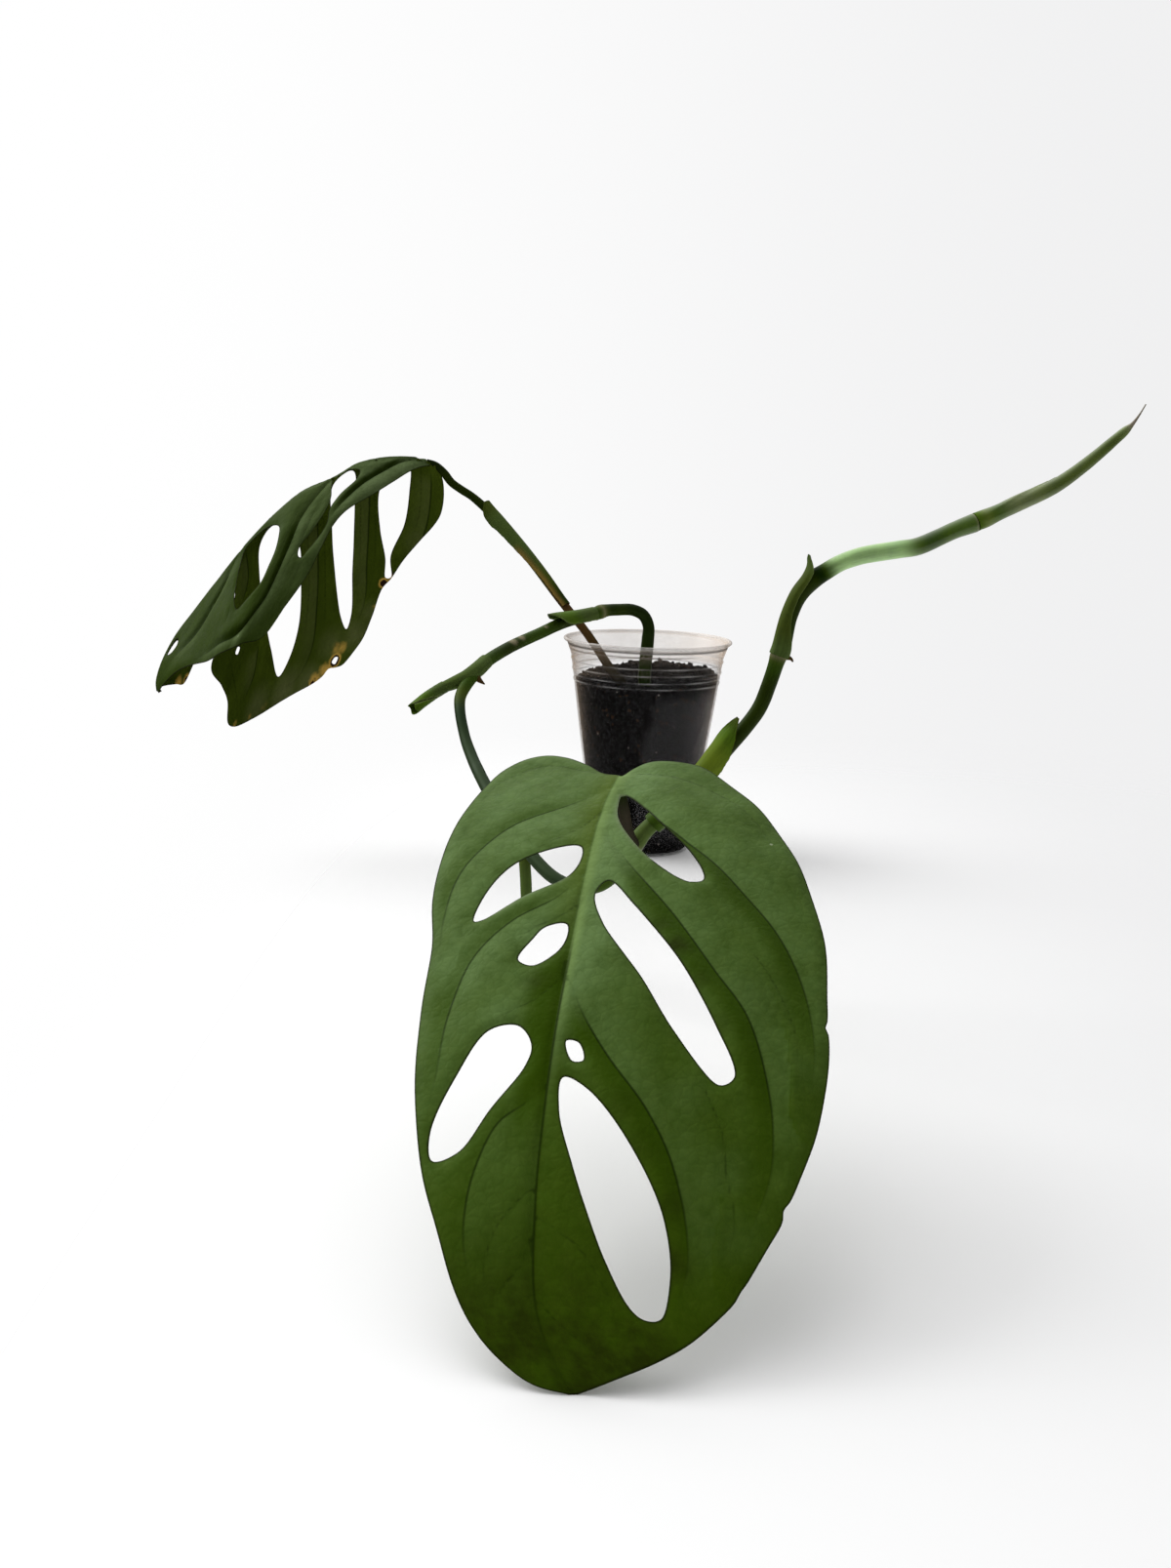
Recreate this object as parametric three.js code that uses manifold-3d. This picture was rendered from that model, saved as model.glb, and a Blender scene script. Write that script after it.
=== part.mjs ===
// A climbing aroid in a clear plastic cup of soil. One vine rises out of the cup, arches over the rim, drops
// in front of it and climbs away to the right, ending in a rolled new leaf. A large split leaf comes forward
// from the vine and touches the floor with its tip. A second stem carries a split leaf that hangs folded along
// its midrib. Millimetres. +Z is up, +X is to the right and +Y goes away from the viewer.
// The origin is the middle of the cup's underside, which stands on the floor.
import * as THREE from "three";
import { mergeVertices } from "three/addons/utils/BufferGeometryUtils.js";
import Module from "manifold-3d";

const wasm = await Module();
wasm.setup();

const DEGREE = Math.PI / 180;

// Cup
const RIM_RADIUS = 48;
const CUP_HEIGHT = 122;
const BASE_RADIUS = 28;
const WALL_TAPER = 0.138;
const CUP_WALL = 0.8;
const FLOOR_THICKNESS = 1.2;
const FLARE_START = 112;
const RING_HEIGHTS = [98, 104, 110];
const RING_BULGE = 0.7;
const RING_HALF_HEIGHT = 1.6;
const CUP_SEGMENTS = 36;

// Soil
const SOIL_TOP = 100.5;
const SOIL_RINGS = 6;
const SEAT_GAP = 0.3;

// Blades
const BLADE_THICKNESS = 0.7;
const BLADE_EDGE = 9;
const RELIEF = 0.8;

// Stems, each point x, y, z and the radius there
const MAIN_VINE = [
  [4, -22, 64, 3.6],
  [0, -26, 84, 3.7],
  [-2, -29, 104, 3.6],
  [-1, -29, 124, 3.5],
  [-1, -30, 132, 3.2],
  [-4, -31, 138, 3.2],
  [-10, -34, 141, 3.2],
  [-18, -40, 141.5, 3.2],
  [-24, -45, 141.5, 3.3],
  [-27, -48, 141, 4],
  [-30, -51, 140, 3.2],
  [-46, -69, 137, 3.1],
  [-61, -88, 133, 3],
  [-75, -109, 128.5, 3.2],
  [-84, -125, 123.5, 3.4],
  [-89, -138, 118, 4.1],
  [-93, -147, 110, 3.1],
  [-95, -157, 101, 2.8],
  [-93, -167, 91, 2.7],
  [-88, -179, 83, 2.8],
  [-82, -194, 76, 2.9],
  [-71, -217, 65, 2.9],
  [-60, -236, 55, 2.9],
  [-46, -255, 45.5, 2.9],
  [-36, -262, 43, 3],
  [-26, -268, 45.5, 3],
  [-18, -274, 54, 3.2],
  [-12, -279, 66, 4],
  [-7, -279, 73, 3.4],
  [4, -279, 84, 3],
  [14, -279, 95, 2.8],
  [23, -279, 106, 2.7],
  [37, -279, 125, 2.6],
  [41, -279, 136, 2.7],
  [43, -279, 144, 3],
  [44, -279, 147, 3.5],
  [45, -279, 151, 3.1],
  [47, -279, 164, 2.9],
  [50, -279, 173, 3],
  [54, -279, 178.5, 3.5],
  [60, -279, 182, 3.4],
  [67, -279, 186, 3.2],
  [75, -278, 189, 3.2],
  [91, -275, 192, 3.2],
  [99, -274, 193.5, 3.2],
  [114, -272, 200.5, 3.2],
  [122, -270, 203.5, 3.4],
];
const VINE_SPUR = [
  [-88, -138, 117, 2.2],
  [-85, -137.5, 113, 0.4],
];
const VINE_NUB = [
  [45, -279, 147, 1.9],
  [49.5, -280, 145.5, 0.5],
];
const NEW_LEAF = [
  [122.5, -269.8, 203.7, 3.5],
  [127, -269, 205.5, 3.6],
  [131, -269, 207.5, 3.2],
  [138, -268, 211, 3.1],
  [154, -266, 219, 2.7],
  [170, -263, 231, 2],
  [178, -261, 238, 1.6],
  [185, -259, 244.5, 1],
  [188, -259, 248.5, 0.6],
  [191, -259, 254, 0.35],
];
const BACK_STEM = [
  [-12, -12, 66, 2.8],
  [-14, -18, 86, 2.9],
  [-15, -22, 99, 2.9],
  [-20, -22, 105, 2.6],
  [-34, -14, 124, 2.3],
  [-50, -4, 142, 2.3],
  [-70, 8, 166, 2.3],
  [-82, 14, 179, 2.3],
  [-95, 20.5, 193, 2.2],
];
const BACK_PETIOLE = [
  [-95.6, 20.8, 193.7, 2.1],
  [-99, 21, 196.5, 1.9],
  [-105, 21, 201, 1.7],
  [-114, 19, 207.5, 1.7],
  [-118.5, 17.8, 211.3, 1.7],
  [-121, 17.2, 213.2, 1.6],
];
const FRONT_PETIOLE = [
  [-12, -279, 66, 2.8],
  [-15, -300, 76, 2.5],
  [-18, -340, 94, 2.2],
  [-20.5, -378, 109.5, 2],
  [-21, -398, 115.6, 1.9],
  [-21, -404, 117.9, 1.7],
];
const LEFT_STUB = [
  [-89, -138, 117, 2.8],
  [-98, -140, 112.5, 2.8],
  [-106, -147, 109, 2.5],
  [-112, -154, 105.5, 2.3],
  [-118, -161, 101, 2.1],
];
const LOW_STUB = [
  [-59.5, -238, 54.5, 2.2],
  [-58, -241, 41, 2.4],
  [-57, -244, 24, 2.2],
];

// Sheaths, each point x, y, z on the axis of the stem inside, the inner radius and half the angle covered
const ARCH_SHEATH = {
  facing: [0.1, 0, 1],
  spine: [
    [-31.5, -52.5, 139.7, 3.7, 115],
    [-38, -59.5, 138.6, 3.9, 90],
    [-46, -69, 137, 4.6, 55],
    [-54.5, -79, 134.8, 7.4, 9],
  ],
};
const RIGHT_SHEATH = {
  facing: [-0.75, -0.45, 0.5],
  spine: [
    [-4.5, -279, 75.6, 3.9, 140],
    [4, -279, 84, 4, 120],
    [14, -279, 95, 4.4, 95],
    [24, -279, 107.5, 5.2, 60],
    [32.5, -279, 118.5, 7, 8],
  ],
};
const UPPER_SHEATH = {
  facing: [-0.9, -0.35, 0.2],
  spine: [
    [45.2, -279, 152.2, 3.6, 150],
    [47, -279, 164, 3.6, 120],
    [50, -279, 173, 4.2, 85],
    [53.5, -279, 178.2, 5.6, 55],
    [58, -279, 184, 7.2, 10],
  ],
};
const BACK_SHEATH = {
  facing: [-0.6, -0.5, -0.4],
  spine: [
    [-34, -14, 124, 3, 110],
    [-50, -4, 142, 3, 120],
    [-70, 8, 166, 3.1, 120],
    [-82, 14, 179, 3.5, 115],
    [-91, 18.5, 188.7, 3.5, 85],
    [-95.5, 20.8, 193.6, 3.5, 30],
  ],
};
const SHEATH_THICKNESS = 0.7;

// Leaves. An outline point is u, the way along the midrib from its base, and v, the way across along the side
// veins, negative on the left half. Margins run from the base of the midrib to the tip.
const FRONT_LEAF = {
  length: 230,
  ribRadius: [2, 0.7],
  ribDrop: 0.95,
  veinPitch: 27,
  veinLean: 0.8,
  midrib: [
    [-21, -404, 120.5],
    [-27, -432, 113],
    [-31, -460, 103],
    [-35, -490, 88],
    [-38.5, -515, 73],
    [-41, -538, 56],
    [-42.5, -561, 36],
    [-41, -580, 16],
    [-34, -590, 3.8],
    [-31, -592.5, 0.3],
  ],
  left: {
    margin: [
      [-1, -6], [-8, -13], [-15, -22], [-18, -30], [-16, -36], [-8, -42], [3, -45], [21, -47], [45, -49],
      [69, -48], [90, -44], [116, -42], [144, -38], [169, -32], [189, -25], [204, -19], [219, -13], [226, -6],
    ],
    holes: [
      [[50, -4], [50, -10], [57, -23], [69, -30], [82, -32], [82, -29], [74, -18], [66, -6], [58, -3]],
      [[87, -3], [88, -9], [93, -12], [101, -15], [104, -10], [99, -4], [92, -2]],
      [
        [133, -6], [126, -11], [127, -19], [141, -26], [158, -31], [167, -29], [165, -22], [153, -15],
        [140, -7],
      ],
    ],
  },
  right: {
    margin: [
      [-5, 3], [-9, 8], [-9, 16], [-6, 25], [2, 34], [14, 44], [28, 54], [44, 62], [60, 68], [86, 75],
      [109, 77], [135, 78], [155, 75], [170, 70], [189, 61], [205, 50], [214, 38], [221, 24], [226, 11],
    ],
    holes: [
      [[15, 4], [25, 13], [38, 22], [52, 31], [67, 36], [68, 32], [57, 19], [45, 11], [34, 6], [24, 4]],
      [[73, 4], [68, 7], [79, 16], [103, 33], [125, 45], [141, 51], [144, 47], [127, 33], [109, 22], [87, 8]],
      [[131, 3.5], [132, 7], [138, 9], [138, 6]],
      [
        [143, 4], [147, 11], [165, 25], [182, 33], [198, 35], [209, 31], [209, 26], [196, 19], [169, 9],
        [153, 4],
      ],
    ],
  },
};
const BACK_LEAF = {
  length: 224,
  ribRadius: [1.7, 0.6],
  ribDrop: 0.5,
  veinPitch: 16,
  veinLean: 0,
  midrib: [
    [-124, 16, 215.5],
    [-132, 14, 218.5],
    [-152, 9, 218.5],
    [-168, 4, 214.5],
    [-180, 0, 207],
    [-196, -5, 199.5],
    [-209, -10, 188.5],
    [-224, -16, 172],
    [-238, -22, 153.5],
    [-252, -28, 134],
    [-263, -33, 118],
    [-270.5, -37, 101],
    [-271.5, -39, 93],
    [-269, -41, 88],
  ],
  left: {
    margin: [
      [-4, -6], [-5, -16], [-3, -27], [2, -36], [11, -48], [20, -59], [27, -69], [32, -74], [38, -89],
      [45, -102], [56, -109], [62, -108], [66, -107], [70, -110], [78, -112], [100, -108], [120, -102],
      [138, -93], [144, -86], [144, -74], [149, -61], [158, -43], [147, -33], [135, -20], [146, -15],
      [158, -20], [173, -29], [182, -33], [190, -27], [206, -14],
    ],
    holes: [
      [
        [16, -5], [16, -20], [19, -38], [27, -56], [27, -68], [30, -68], [30, -57], [33, -40], [33, -18],
        [26, -9],
      ],
      [
        [48, -4], [48, -24], [50, -60], [51, -84], [54, -90], [58, -81], [61, -60], [63, -30], [62, -5],
        [55, -2],
      ],
      [
        [95, -10], [106, -6], [113, -10], [114, -26], [112, -44], [106, -73], [100, -93], [92, -88],
        [85, -74], [83, -50], [84, -28],
      ],
      [[132, -53], [134, -51], [136, -53], [134, -55]],
      [[60, -103], [62, -102], [64, -104], [62, -106]],
    ],
  },
  right: {
    margin: [
      [11, 12], [17, 21], [25, 31], [36, 41], [40, 50], [41, 64], [42, 78], [48, 94], [56, 102],
      [68, 105], [89, 99], [108, 90], [127, 80], [151, 66], [174, 48], [192, 35], [207, 23], [218, 12],
    ],
    holes: [
      [
        [41, 9], [50, 4], [60, 3], [57, 13], [52, 25], [51, 38], [55, 47], [61, 52], [59, 60], [52, 65],
        [47, 57], [45, 47], [48, 35], [46, 26], [40, 17],
      ],
      [
        [88, 25], [101, 13], [114, 8], [122, 9], [123, 24], [123, 39], [119, 53], [112, 63], [101, 66],
        [86, 65], [83, 55], [83, 42],
      ],
      [[186, 10], [191, 6], [198, 7], [193, 13], [187, 14]],
    ],
  },
};

// The directions in which the side veins of the folded leaf leave its midrib
const FOLD_NEAR = new THREE.Vector3(-0.29, -0.62, -0.73).normalize();
const FOLD_NEAR_TIP = new THREE.Vector3(0.35, -0.85, -0.4).normalize();
const FOLD_FAR = new THREE.Vector3(0.02, 0.06, -1).normalize();
const ACROSS = new THREE.Vector3(1, 0, 0);
const DOWN = new THREE.Vector3(0, 0, -1);
const FORWARD = new THREE.Vector3(0, -1, 0);

const COLOURS = {
  cup: 0xd8d4cc,
  soil: 0x1d1a18,
  leaf: 0x3c5c2a,
  darkLeaf: 0x2c3f1c,
  stem: 0x3b5228,
  sheath: 0x6a7d2c,
  brown: 0x5a4428,
  shoot: 0x6f8a45,
};

function material(color, roughness = 0.5) {
  return new THREE.MeshStandardMaterial({ color, roughness, metalness: 0 });
}

function smoothstep(x) {
  const t = Math.min(Math.max(x, 0), 1);
  return t * t * (3 - 2 * t);
}

// Twice the area of a flat triangle, positive where its corners run anticlockwise
function turnOf(a, b, c) {
  return b.clone().sub(a).cross(c.clone().sub(a));
}

function spline(points, closed = false) {
  return new THREE.CatmullRomCurve3(points, closed, "centripetal");
}

function geometryFrom(points, triangles) {
  const geometry = new THREE.BufferGeometry();
  const positions = points.flatMap(({ x, y, z }) => [x, y, z]);
  geometry.setAttribute("position", new THREE.Float32BufferAttribute(positions, 3));
  geometry.setIndex(triangles.flat());
  return geometry;
}

// Joins and cuts keep the largest body, so that a sealed hollow is filled and a loose scrap is dropped
function solidOf(geometry) {
  const bare = geometry.clone();
  bare.deleteAttribute("normal");
  bare.deleteAttribute("uv");
  const merged = mergeVertices(bare, 1e-3);
  const mesh = new wasm.Mesh({
    numProp: 3,
    vertProperties: new Float32Array(merged.attributes.position.array),
    triVerts: new Uint32Array(merged.index.array),
  });
  return new wasm.Manifold(mesh);
}

function geometryOf(solid) {
  const mesh = solid.getMesh();
  const geometry = new THREE.BufferGeometry();
  geometry.setAttribute("position", new THREE.BufferAttribute(new Float32Array(mesh.vertProperties), 3));
  geometry.setIndex(new THREE.BufferAttribute(new Uint32Array(mesh.triVerts), 1));
  return geometry;
}

function largest(solid) {
  return solid.decompose().reduce((best, next) => (next.volume() > best.volume() ? next : best));
}

function joined(...geometries) {
  return geometryOf(largest(geometries.map(solidOf).reduce((whole, next) => whole.add(next))));
}

function cut(body, ...cutters) {
  const rest = cutters.reduce((whole, cutter) => whole.subtract(solidOf(cutter)), solidOf(body));
  return geometryOf(largest(rest));
}

function widened(route, extra) {
  return route.map(([x, y, z, radius]) => [x, y, z, radius + extra]);
}

// A closed round stem through points of x, y, z and radius
function stem(route, sides = 10, step = 7) {
  const path = spline(route.map(([x, y, z]) => new THREE.Vector3(x, y, z)));
  const girth = spline(route.map((point) => new THREE.Vector3(point[3], 0, 0)));
  const spans = route.length - 1;
  const stations = [];
  for (let i = 0; i < spans; i += 1) {
    const from = path.getPoint(i / spans);
    const count = Math.max(1, Math.round(from.distanceTo(path.getPoint((i + 1) / spans)) / step));
    for (let j = 0; j < count; j += 1) stations.push((i + j / count) / spans);
  }
  stations.push(1);

  const points = [];
  const triangles = [];
  let across = null;
  stations.forEach((t, row) => {
    const centre = path.getPoint(t);
    const along = path.getTangent(t);
    if (!across) across = Math.abs(along.y) < 0.9 ? new THREE.Vector3(0, 1, 0) : new THREE.Vector3(1, 0, 0);
    across = across.clone().addScaledVector(along, -across.dot(along)).normalize();
    const third = new THREE.Vector3().crossVectors(along, across);
    const radius = girth.getPoint(t).x;
    for (let k = 0; k < sides; k += 1) {
      const angle = (2 * Math.PI * k) / sides;
      points.push(centre.clone()
        .addScaledVector(across, radius * Math.cos(angle))
        .addScaledVector(third, radius * Math.sin(angle)));
    }
    if (row === 0) return;
    const last = (row - 1) * sides;
    const here = row * sides;
    for (let k = 0; k < sides; k += 1) {
      const next = (k + 1) % sides;
      triangles.push([last + k, last + next, here + next], [last + k, here + next, here + k]);
    }
  });
  const top = (stations.length - 1) * sides;
  const startCentre = points.push(path.getPoint(0)) - 1;
  const endCentre = points.push(path.getPoint(1)) - 1;
  for (let k = 0; k < sides; k += 1) {
    const next = (k + 1) % sides;
    triangles.push([startCentre, next, k], [endCentre, top + k, top + next]);
  }
  return geometryFrom(points, triangles);
}

// A thin solid from a sheet of triangles, with its two faces split alike and a wall along each free edge
function thicken(points, triangles, thickness) {
  const normals = points.map(() => new THREE.Vector3());
  const faceNormals = triangles.map(([a, b, c]) => {
    const ab = points[b].clone().sub(points[a]);
    const ac = points[c].clone().sub(points[a]);
    const normal = ab.cross(ac);
    [a, b, c].forEach((corner) => normals[corner].add(normal));
    return normal.clone().normalize();
  });
  normals.forEach((normal) => normal.normalize());
  const spread = points.map(() => 1);
  triangles.forEach((corners, face) => {
    corners.forEach((corner) => {
      spread[corner] = Math.min(spread[corner], normals[corner].dot(faceNormals[face]));
    });
  });

  const half = thickness / 2;
  const offset = (sign) => points.map((point, i) => {
    return point.clone().addScaledVector(normals[i], (sign * half) / Math.max(spread[i], 0.5));
  });
  const all = [...offset(1), ...offset(-1)];
  const count = points.length;
  const faces = [];
  const uses = new Map();
  triangles.forEach(([a, b, c]) => {
    faces.push([a, b, c], [a + count, c + count, b + count]);
    [[a, b], [b, c], [c, a]].forEach(([from, to]) => {
      const key = `${Math.min(from, to)},${Math.max(from, to)}`;
      uses.set(key, uses.has(key) ? null : [from, to]);
    });
  });
  [...uses.values()].filter(Boolean).forEach(([from, to]) => {
    faces.push([from, from + count, to + count], [from, to + count, to]);
  });
  return geometryFrom(all, faces);
}

// A thin sheath around part of a stem: it faces one way and covers an angle on each side of that
function sheath({ facing, spine }, columns = 8, step = 6) {
  const path = spline(spine.map(([x, y, z]) => new THREE.Vector3(x, y, z)));
  const shape = spline(spine.map((point) => new THREE.Vector3(point[3], point[4], 0)));
  const rows = Math.round(path.getLength() / step);
  const front = new THREE.Vector3(...facing);
  const points = [];
  const triangles = [];
  for (let row = 0; row <= rows; row += 1) {
    const t = row / rows;
    const centre = path.getPoint(t);
    const along = path.getTangent(t);
    const out = front.clone().addScaledVector(along, -front.dot(along)).normalize();
    const side = new THREE.Vector3().crossVectors(along, out);
    const { x: inner, y: halfAngle } = shape.getPoint(t);
    const radius = inner + SHEATH_THICKNESS / 2;
    for (let column = 0; column <= columns; column += 1) {
      const angle = halfAngle * DEGREE * ((2 * column) / columns - 1);
      points.push(centre.clone()
        .addScaledVector(out, radius * Math.cos(angle))
        .addScaledVector(side, radius * Math.sin(angle)));
    }
    if (row === 0) continue;
    for (let column = 0; column < columns; column += 1) {
      const here = row * (columns + 1) + column;
      const last = here - columns - 1;
      triangles.push([last, last + 1, here + 1], [last, here + 1, here]);
    }
  }
  return thicken(points, triangles, SHEATH_THICKNESS);
}

// Points of a smooth line through outline points, the outline points among them
function sampled(outline, closed, spacing) {
  const knots = outline.map(([u, v]) => new THREE.Vector3(u, v, 0));
  const curve = spline(knots, closed);
  const spans = closed ? knots.length : knots.length - 1;
  const points = [];
  for (let i = 0; i < spans; i += 1) {
    const length = knots[i].distanceTo(knots[(i + 1) % knots.length]);
    const count = Math.max(1, Math.round(length / spacing));
    for (let j = 0; j < count; j += 1) {
      const { x, y } = curve.getPoint((i + j / count) / spans);
      points.push(new THREE.Vector2(x, y));
    }
  }
  if (!closed) points.push(new THREE.Vector2(knots.at(-1).x, knots.at(-1).y));
  return points;
}

// Triangles of even size over a flat loop with holes: long edges are halved and edges are flipped to fit
function filled(loop, holes, longest) {
  const points = [...loop, ...holes.flat()];
  let triangles = THREE.ShapeUtils.triangulateShape(loop, holes).map((t) => [...t]);
  const edgesOf = () => {
    const edges = new Map();
    triangles.forEach((triangle, index) => {
      for (let k = 0; k < 3; k += 1) {
        const pair = [triangle[k], triangle[(k + 1) % 3]].sort((a, b) => a - b);
        const key = `${pair[0]},${pair[1]}`;
        if (!edges.has(key)) edges.set(key, { pair, faces: [] });
        edges.get(key).faces.push(index);
      }
    });
    return edges;
  };
  const opposite = (face, pair) => triangles[face].find((corner) => !pair.includes(corner));
  const angleAt = (corner, [a, b]) => {
    const first = points[a].clone().sub(points[corner]);
    const second = points[b].clone().sub(points[corner]);
    return Math.abs(Math.atan2(first.cross(second), first.dot(second)));
  };
  const turned = (a, b, c) => turnOf(points[a], points[b], points[c]) < 0;

  const flipAll = () => {
    for (let pass = 0; pass < 12; pass += 1) {
      let flips = 0;
      const touched = new Set();
      edgesOf().forEach(({ pair, faces }) => {
        if (faces.length < 2 || touched.has(faces[0]) || touched.has(faces[1])) return;
        const [a, b] = pair;
        const c = opposite(faces[0], pair);
        const d = opposite(faces[1], pair);
        if (angleAt(c, pair) + angleAt(d, pair) <= Math.PI + 1e-6) return;
        if (turned(a, c, d) === turned(b, c, d)) return;
        triangles[faces[0]] = turned(a, c, d) ? [a, d, c] : [a, c, d];
        triangles[faces[1]] = turned(b, c, d) ? [b, d, c] : [b, c, d];
        faces.forEach((face) => touched.add(face));
        flips += 1;
      });
      if (flips === 0) return;
    }
  };

  for (let round = 0; round < 12; round += 1) {
    flipAll();
    const used = new Set();
    const inner = [...edgesOf().values()].filter(({ faces }) => faces.length === 2);
    const long = inner
      .map(({ pair, faces }) => ({ pair, faces, length: points[pair[0]].distanceTo(points[pair[1]]) }))
      .filter(({ length }) => length > longest)
      .sort((a, b) => b.length - a.length)
      .filter(({ faces }) => {
        if (faces.some((face) => used.has(face))) return false;
        faces.forEach((face) => used.add(face));
        return true;
      });
    if (long.length === 0) break;
    long.forEach(({ pair: [a, b], faces }) => {
      const middle = points.push(points[a].clone().lerp(points[b], 0.5)) - 1;
      faces.forEach((face) => {
        const old = triangles[face];
        triangles[face] = old.map((corner) => (corner === a ? middle : corner));
        triangles.push(old.map((corner) => (corner === b ? middle : corner)));
      });
    });
  }
  triangles = triangles.filter(([a, b, c]) => Math.abs(turnOf(points[a], points[b], points[c])) > 1e-9);
  return { points, triangles };
}

// The place of a leaf's outline point in space. Each half leaves the midrib in its own direction and bends at
// a steady rate towards the way it sags.
class LeafShape {
  constructor(leaf, halfAt) {
    this.leaf = leaf;
    this.halfAt = halfAt;
    this.midrib = spline(leaf.midrib.map((p) => new THREE.Vector3(...p)));
    this.span = this.midrib.getLength();
  }

  midribAt(u) {
    const share = u / this.leaf.length;
    const inside = Math.min(Math.max(share, 0), 1);
    const along = this.midrib.getTangentAt(inside);
    const point = this.midrib.getPointAt(inside).addScaledVector(along, (share - inside) * this.span);
    return { point, along };
  }

  flat(u, v) {
    const { point, along } = this.midribAt(u);
    const { direction, sag, tilt, bend } = this.halfAt(u, v < 0 ? -1 : 1, along);
    const reach = Math.abs(v);
    const out = (Math.sin(tilt + bend * reach) - Math.sin(tilt)) / bend;
    const fall = (Math.cos(tilt) - Math.cos(tilt + bend * reach)) / bend;
    return point.addScaledVector(direction, out).addScaledVector(sag, fall);
  }

  // The blade swells a little between its side veins
  relief(u, v) {
    const { veinPitch, veinLean } = this.leaf;
    const reach = Math.abs(v);
    const wave = Math.cos((2 * Math.PI * (u - veinLean * reach)) / veinPitch);
    return RELIEF * wave * smoothstep(reach / 14);
  }

  place(u, v) {
    const point = this.flat(u, v);
    const side = v < 0 ? -1 : 1;
    const stepU = this.flat(u + 1, v).sub(point);
    const stepV = this.flat(u, v + side).sub(point);
    const normal = stepU.cross(stepV).multiplyScalar(-side).normalize();
    return point.addScaledVector(normal, this.relief(u, v));
  }
}

// One half of a blade, in outline coordinates
function halfBlade(leaf, half) {
  const ribCount = Math.round(leaf.length / BLADE_EDGE);
  const base = [0, 0];
  const tip = [leaf.length, 0];
  const margin = sampled([base, ...half.margin, tip], false, BLADE_EDGE * 0.9);
  const rib = Array.from({ length: ribCount - 1 }, (_, i) => {
    return new THREE.Vector2((leaf.length * (ribCount - 1 - i)) / ribCount, 0);
  });
  const loop = [...margin, ...rib];
  const holes = half.holes.map((hole) => sampled(hole, true, BLADE_EDGE * 0.75));
  return filled(loop, holes, BLADE_EDGE * 1.25);
}

function blade(leaf, shape) {
  const points = [];
  const triangles = [];
  [leaf.left, leaf.right].forEach((half) => {
    const part = halfBlade(leaf, half);
    const first = points.length;
    part.points.forEach(({ x: u, y: v }) => {
      points.push(shape.place(u, half === leaf.left ? Math.min(v, 0) : Math.max(v, 0)));
    });
    part.triangles.forEach(([a, b, c]) => {
      const turn = turnOf(part.points[a], part.points[b], part.points[c]);
      triangles.push(turn > 0 ? [first + a, first + b, first + c] : [first + a, first + c, first + b]);
    });
  });
  const sheet = mergeVertices(geometryFrom(points, triangles), 1e-3);
  const position = sheet.getAttribute("position");
  const merged = Array.from({ length: position.count }, (_, i) => {
    return new THREE.Vector3().fromBufferAttribute(position, i);
  });
  const index = Array.from(sheet.index.array);
  const faces = Array.from({ length: index.length / 3 }, (_, i) => index.slice(3 * i, 3 * i + 3));
  return thicken(merged, faces, BLADE_THICKNESS);
}

// The midrib stands out under the blade
function midribOf(leaf, shape, under) {
  const { length, ribDrop, ribRadius: [thick, thin] } = leaf;
  const count = 14;
  const route = Array.from({ length: count + 1 }, (_, i) => {
    const u = 2 + (length * 0.93 * i) / count;
    const { point, along } = shape.midribAt(u);
    const radius = THREE.MathUtils.lerp(thick, thin, i / count);
    const { x, y, z } = point.addScaledVector(under(along), radius * ribDrop);
    return [x, y, z, radius];
  });
  return stem(route, 8, 18);
}

function frontHalf(u, side, along) {
  const normal = new THREE.Vector3().crossVectors(along, ACROSS).normalize();
  const bend = side < 0 ? 0.12 + 0.4 * smoothstep(u / 120) : 0.25;
  return {
    direction: ACROSS.clone().multiplyScalar(side),
    sag: normal.negate(),
    tilt: (side < 0 ? 3 : -5) * DEGREE,
    bend: bend * DEGREE,
  };
}

function backHalf(u, side) {
  if (side < 0) return { direction: FOLD_FAR, sag: FORWARD, tilt: 0, bend: 0.1 * DEGREE };
  const turn = THREE.MathUtils.clamp((u - 50) / 170, 0, 1);
  const direction = FOLD_NEAR.clone().lerp(FOLD_NEAR_TIP, turn).normalize();
  return { direction, sag: DOWN, tilt: -6 * DEGREE, bend: 0.2 * DEGREE };
}

function frontLeaf() {
  const shape = new LeafShape(FRONT_LEAF, frontHalf);
  const under = (along) => new THREE.Vector3().crossVectors(ACROSS, along).normalize();
  return joined(blade(FRONT_LEAF, shape), midribOf(FRONT_LEAF, shape, under));
}

function backLeaf() {
  const shape = new LeafShape(BACK_LEAF, backHalf);
  const inside = FOLD_NEAR.clone().add(FOLD_FAR).normalize();
  return joined(blade(BACK_LEAF, shape), midribOf(BACK_LEAF, shape, () => inside));
}

function cupRadius(z) {
  const flare = Math.max(z - FLARE_START, 0) / (CUP_HEIGHT - FLARE_START);
  const straight = BASE_RADIUS + WALL_TAPER * Math.min(z, FLARE_START);
  return THREE.MathUtils.lerp(straight, RIM_RADIUS - 1, flare);
}

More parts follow.
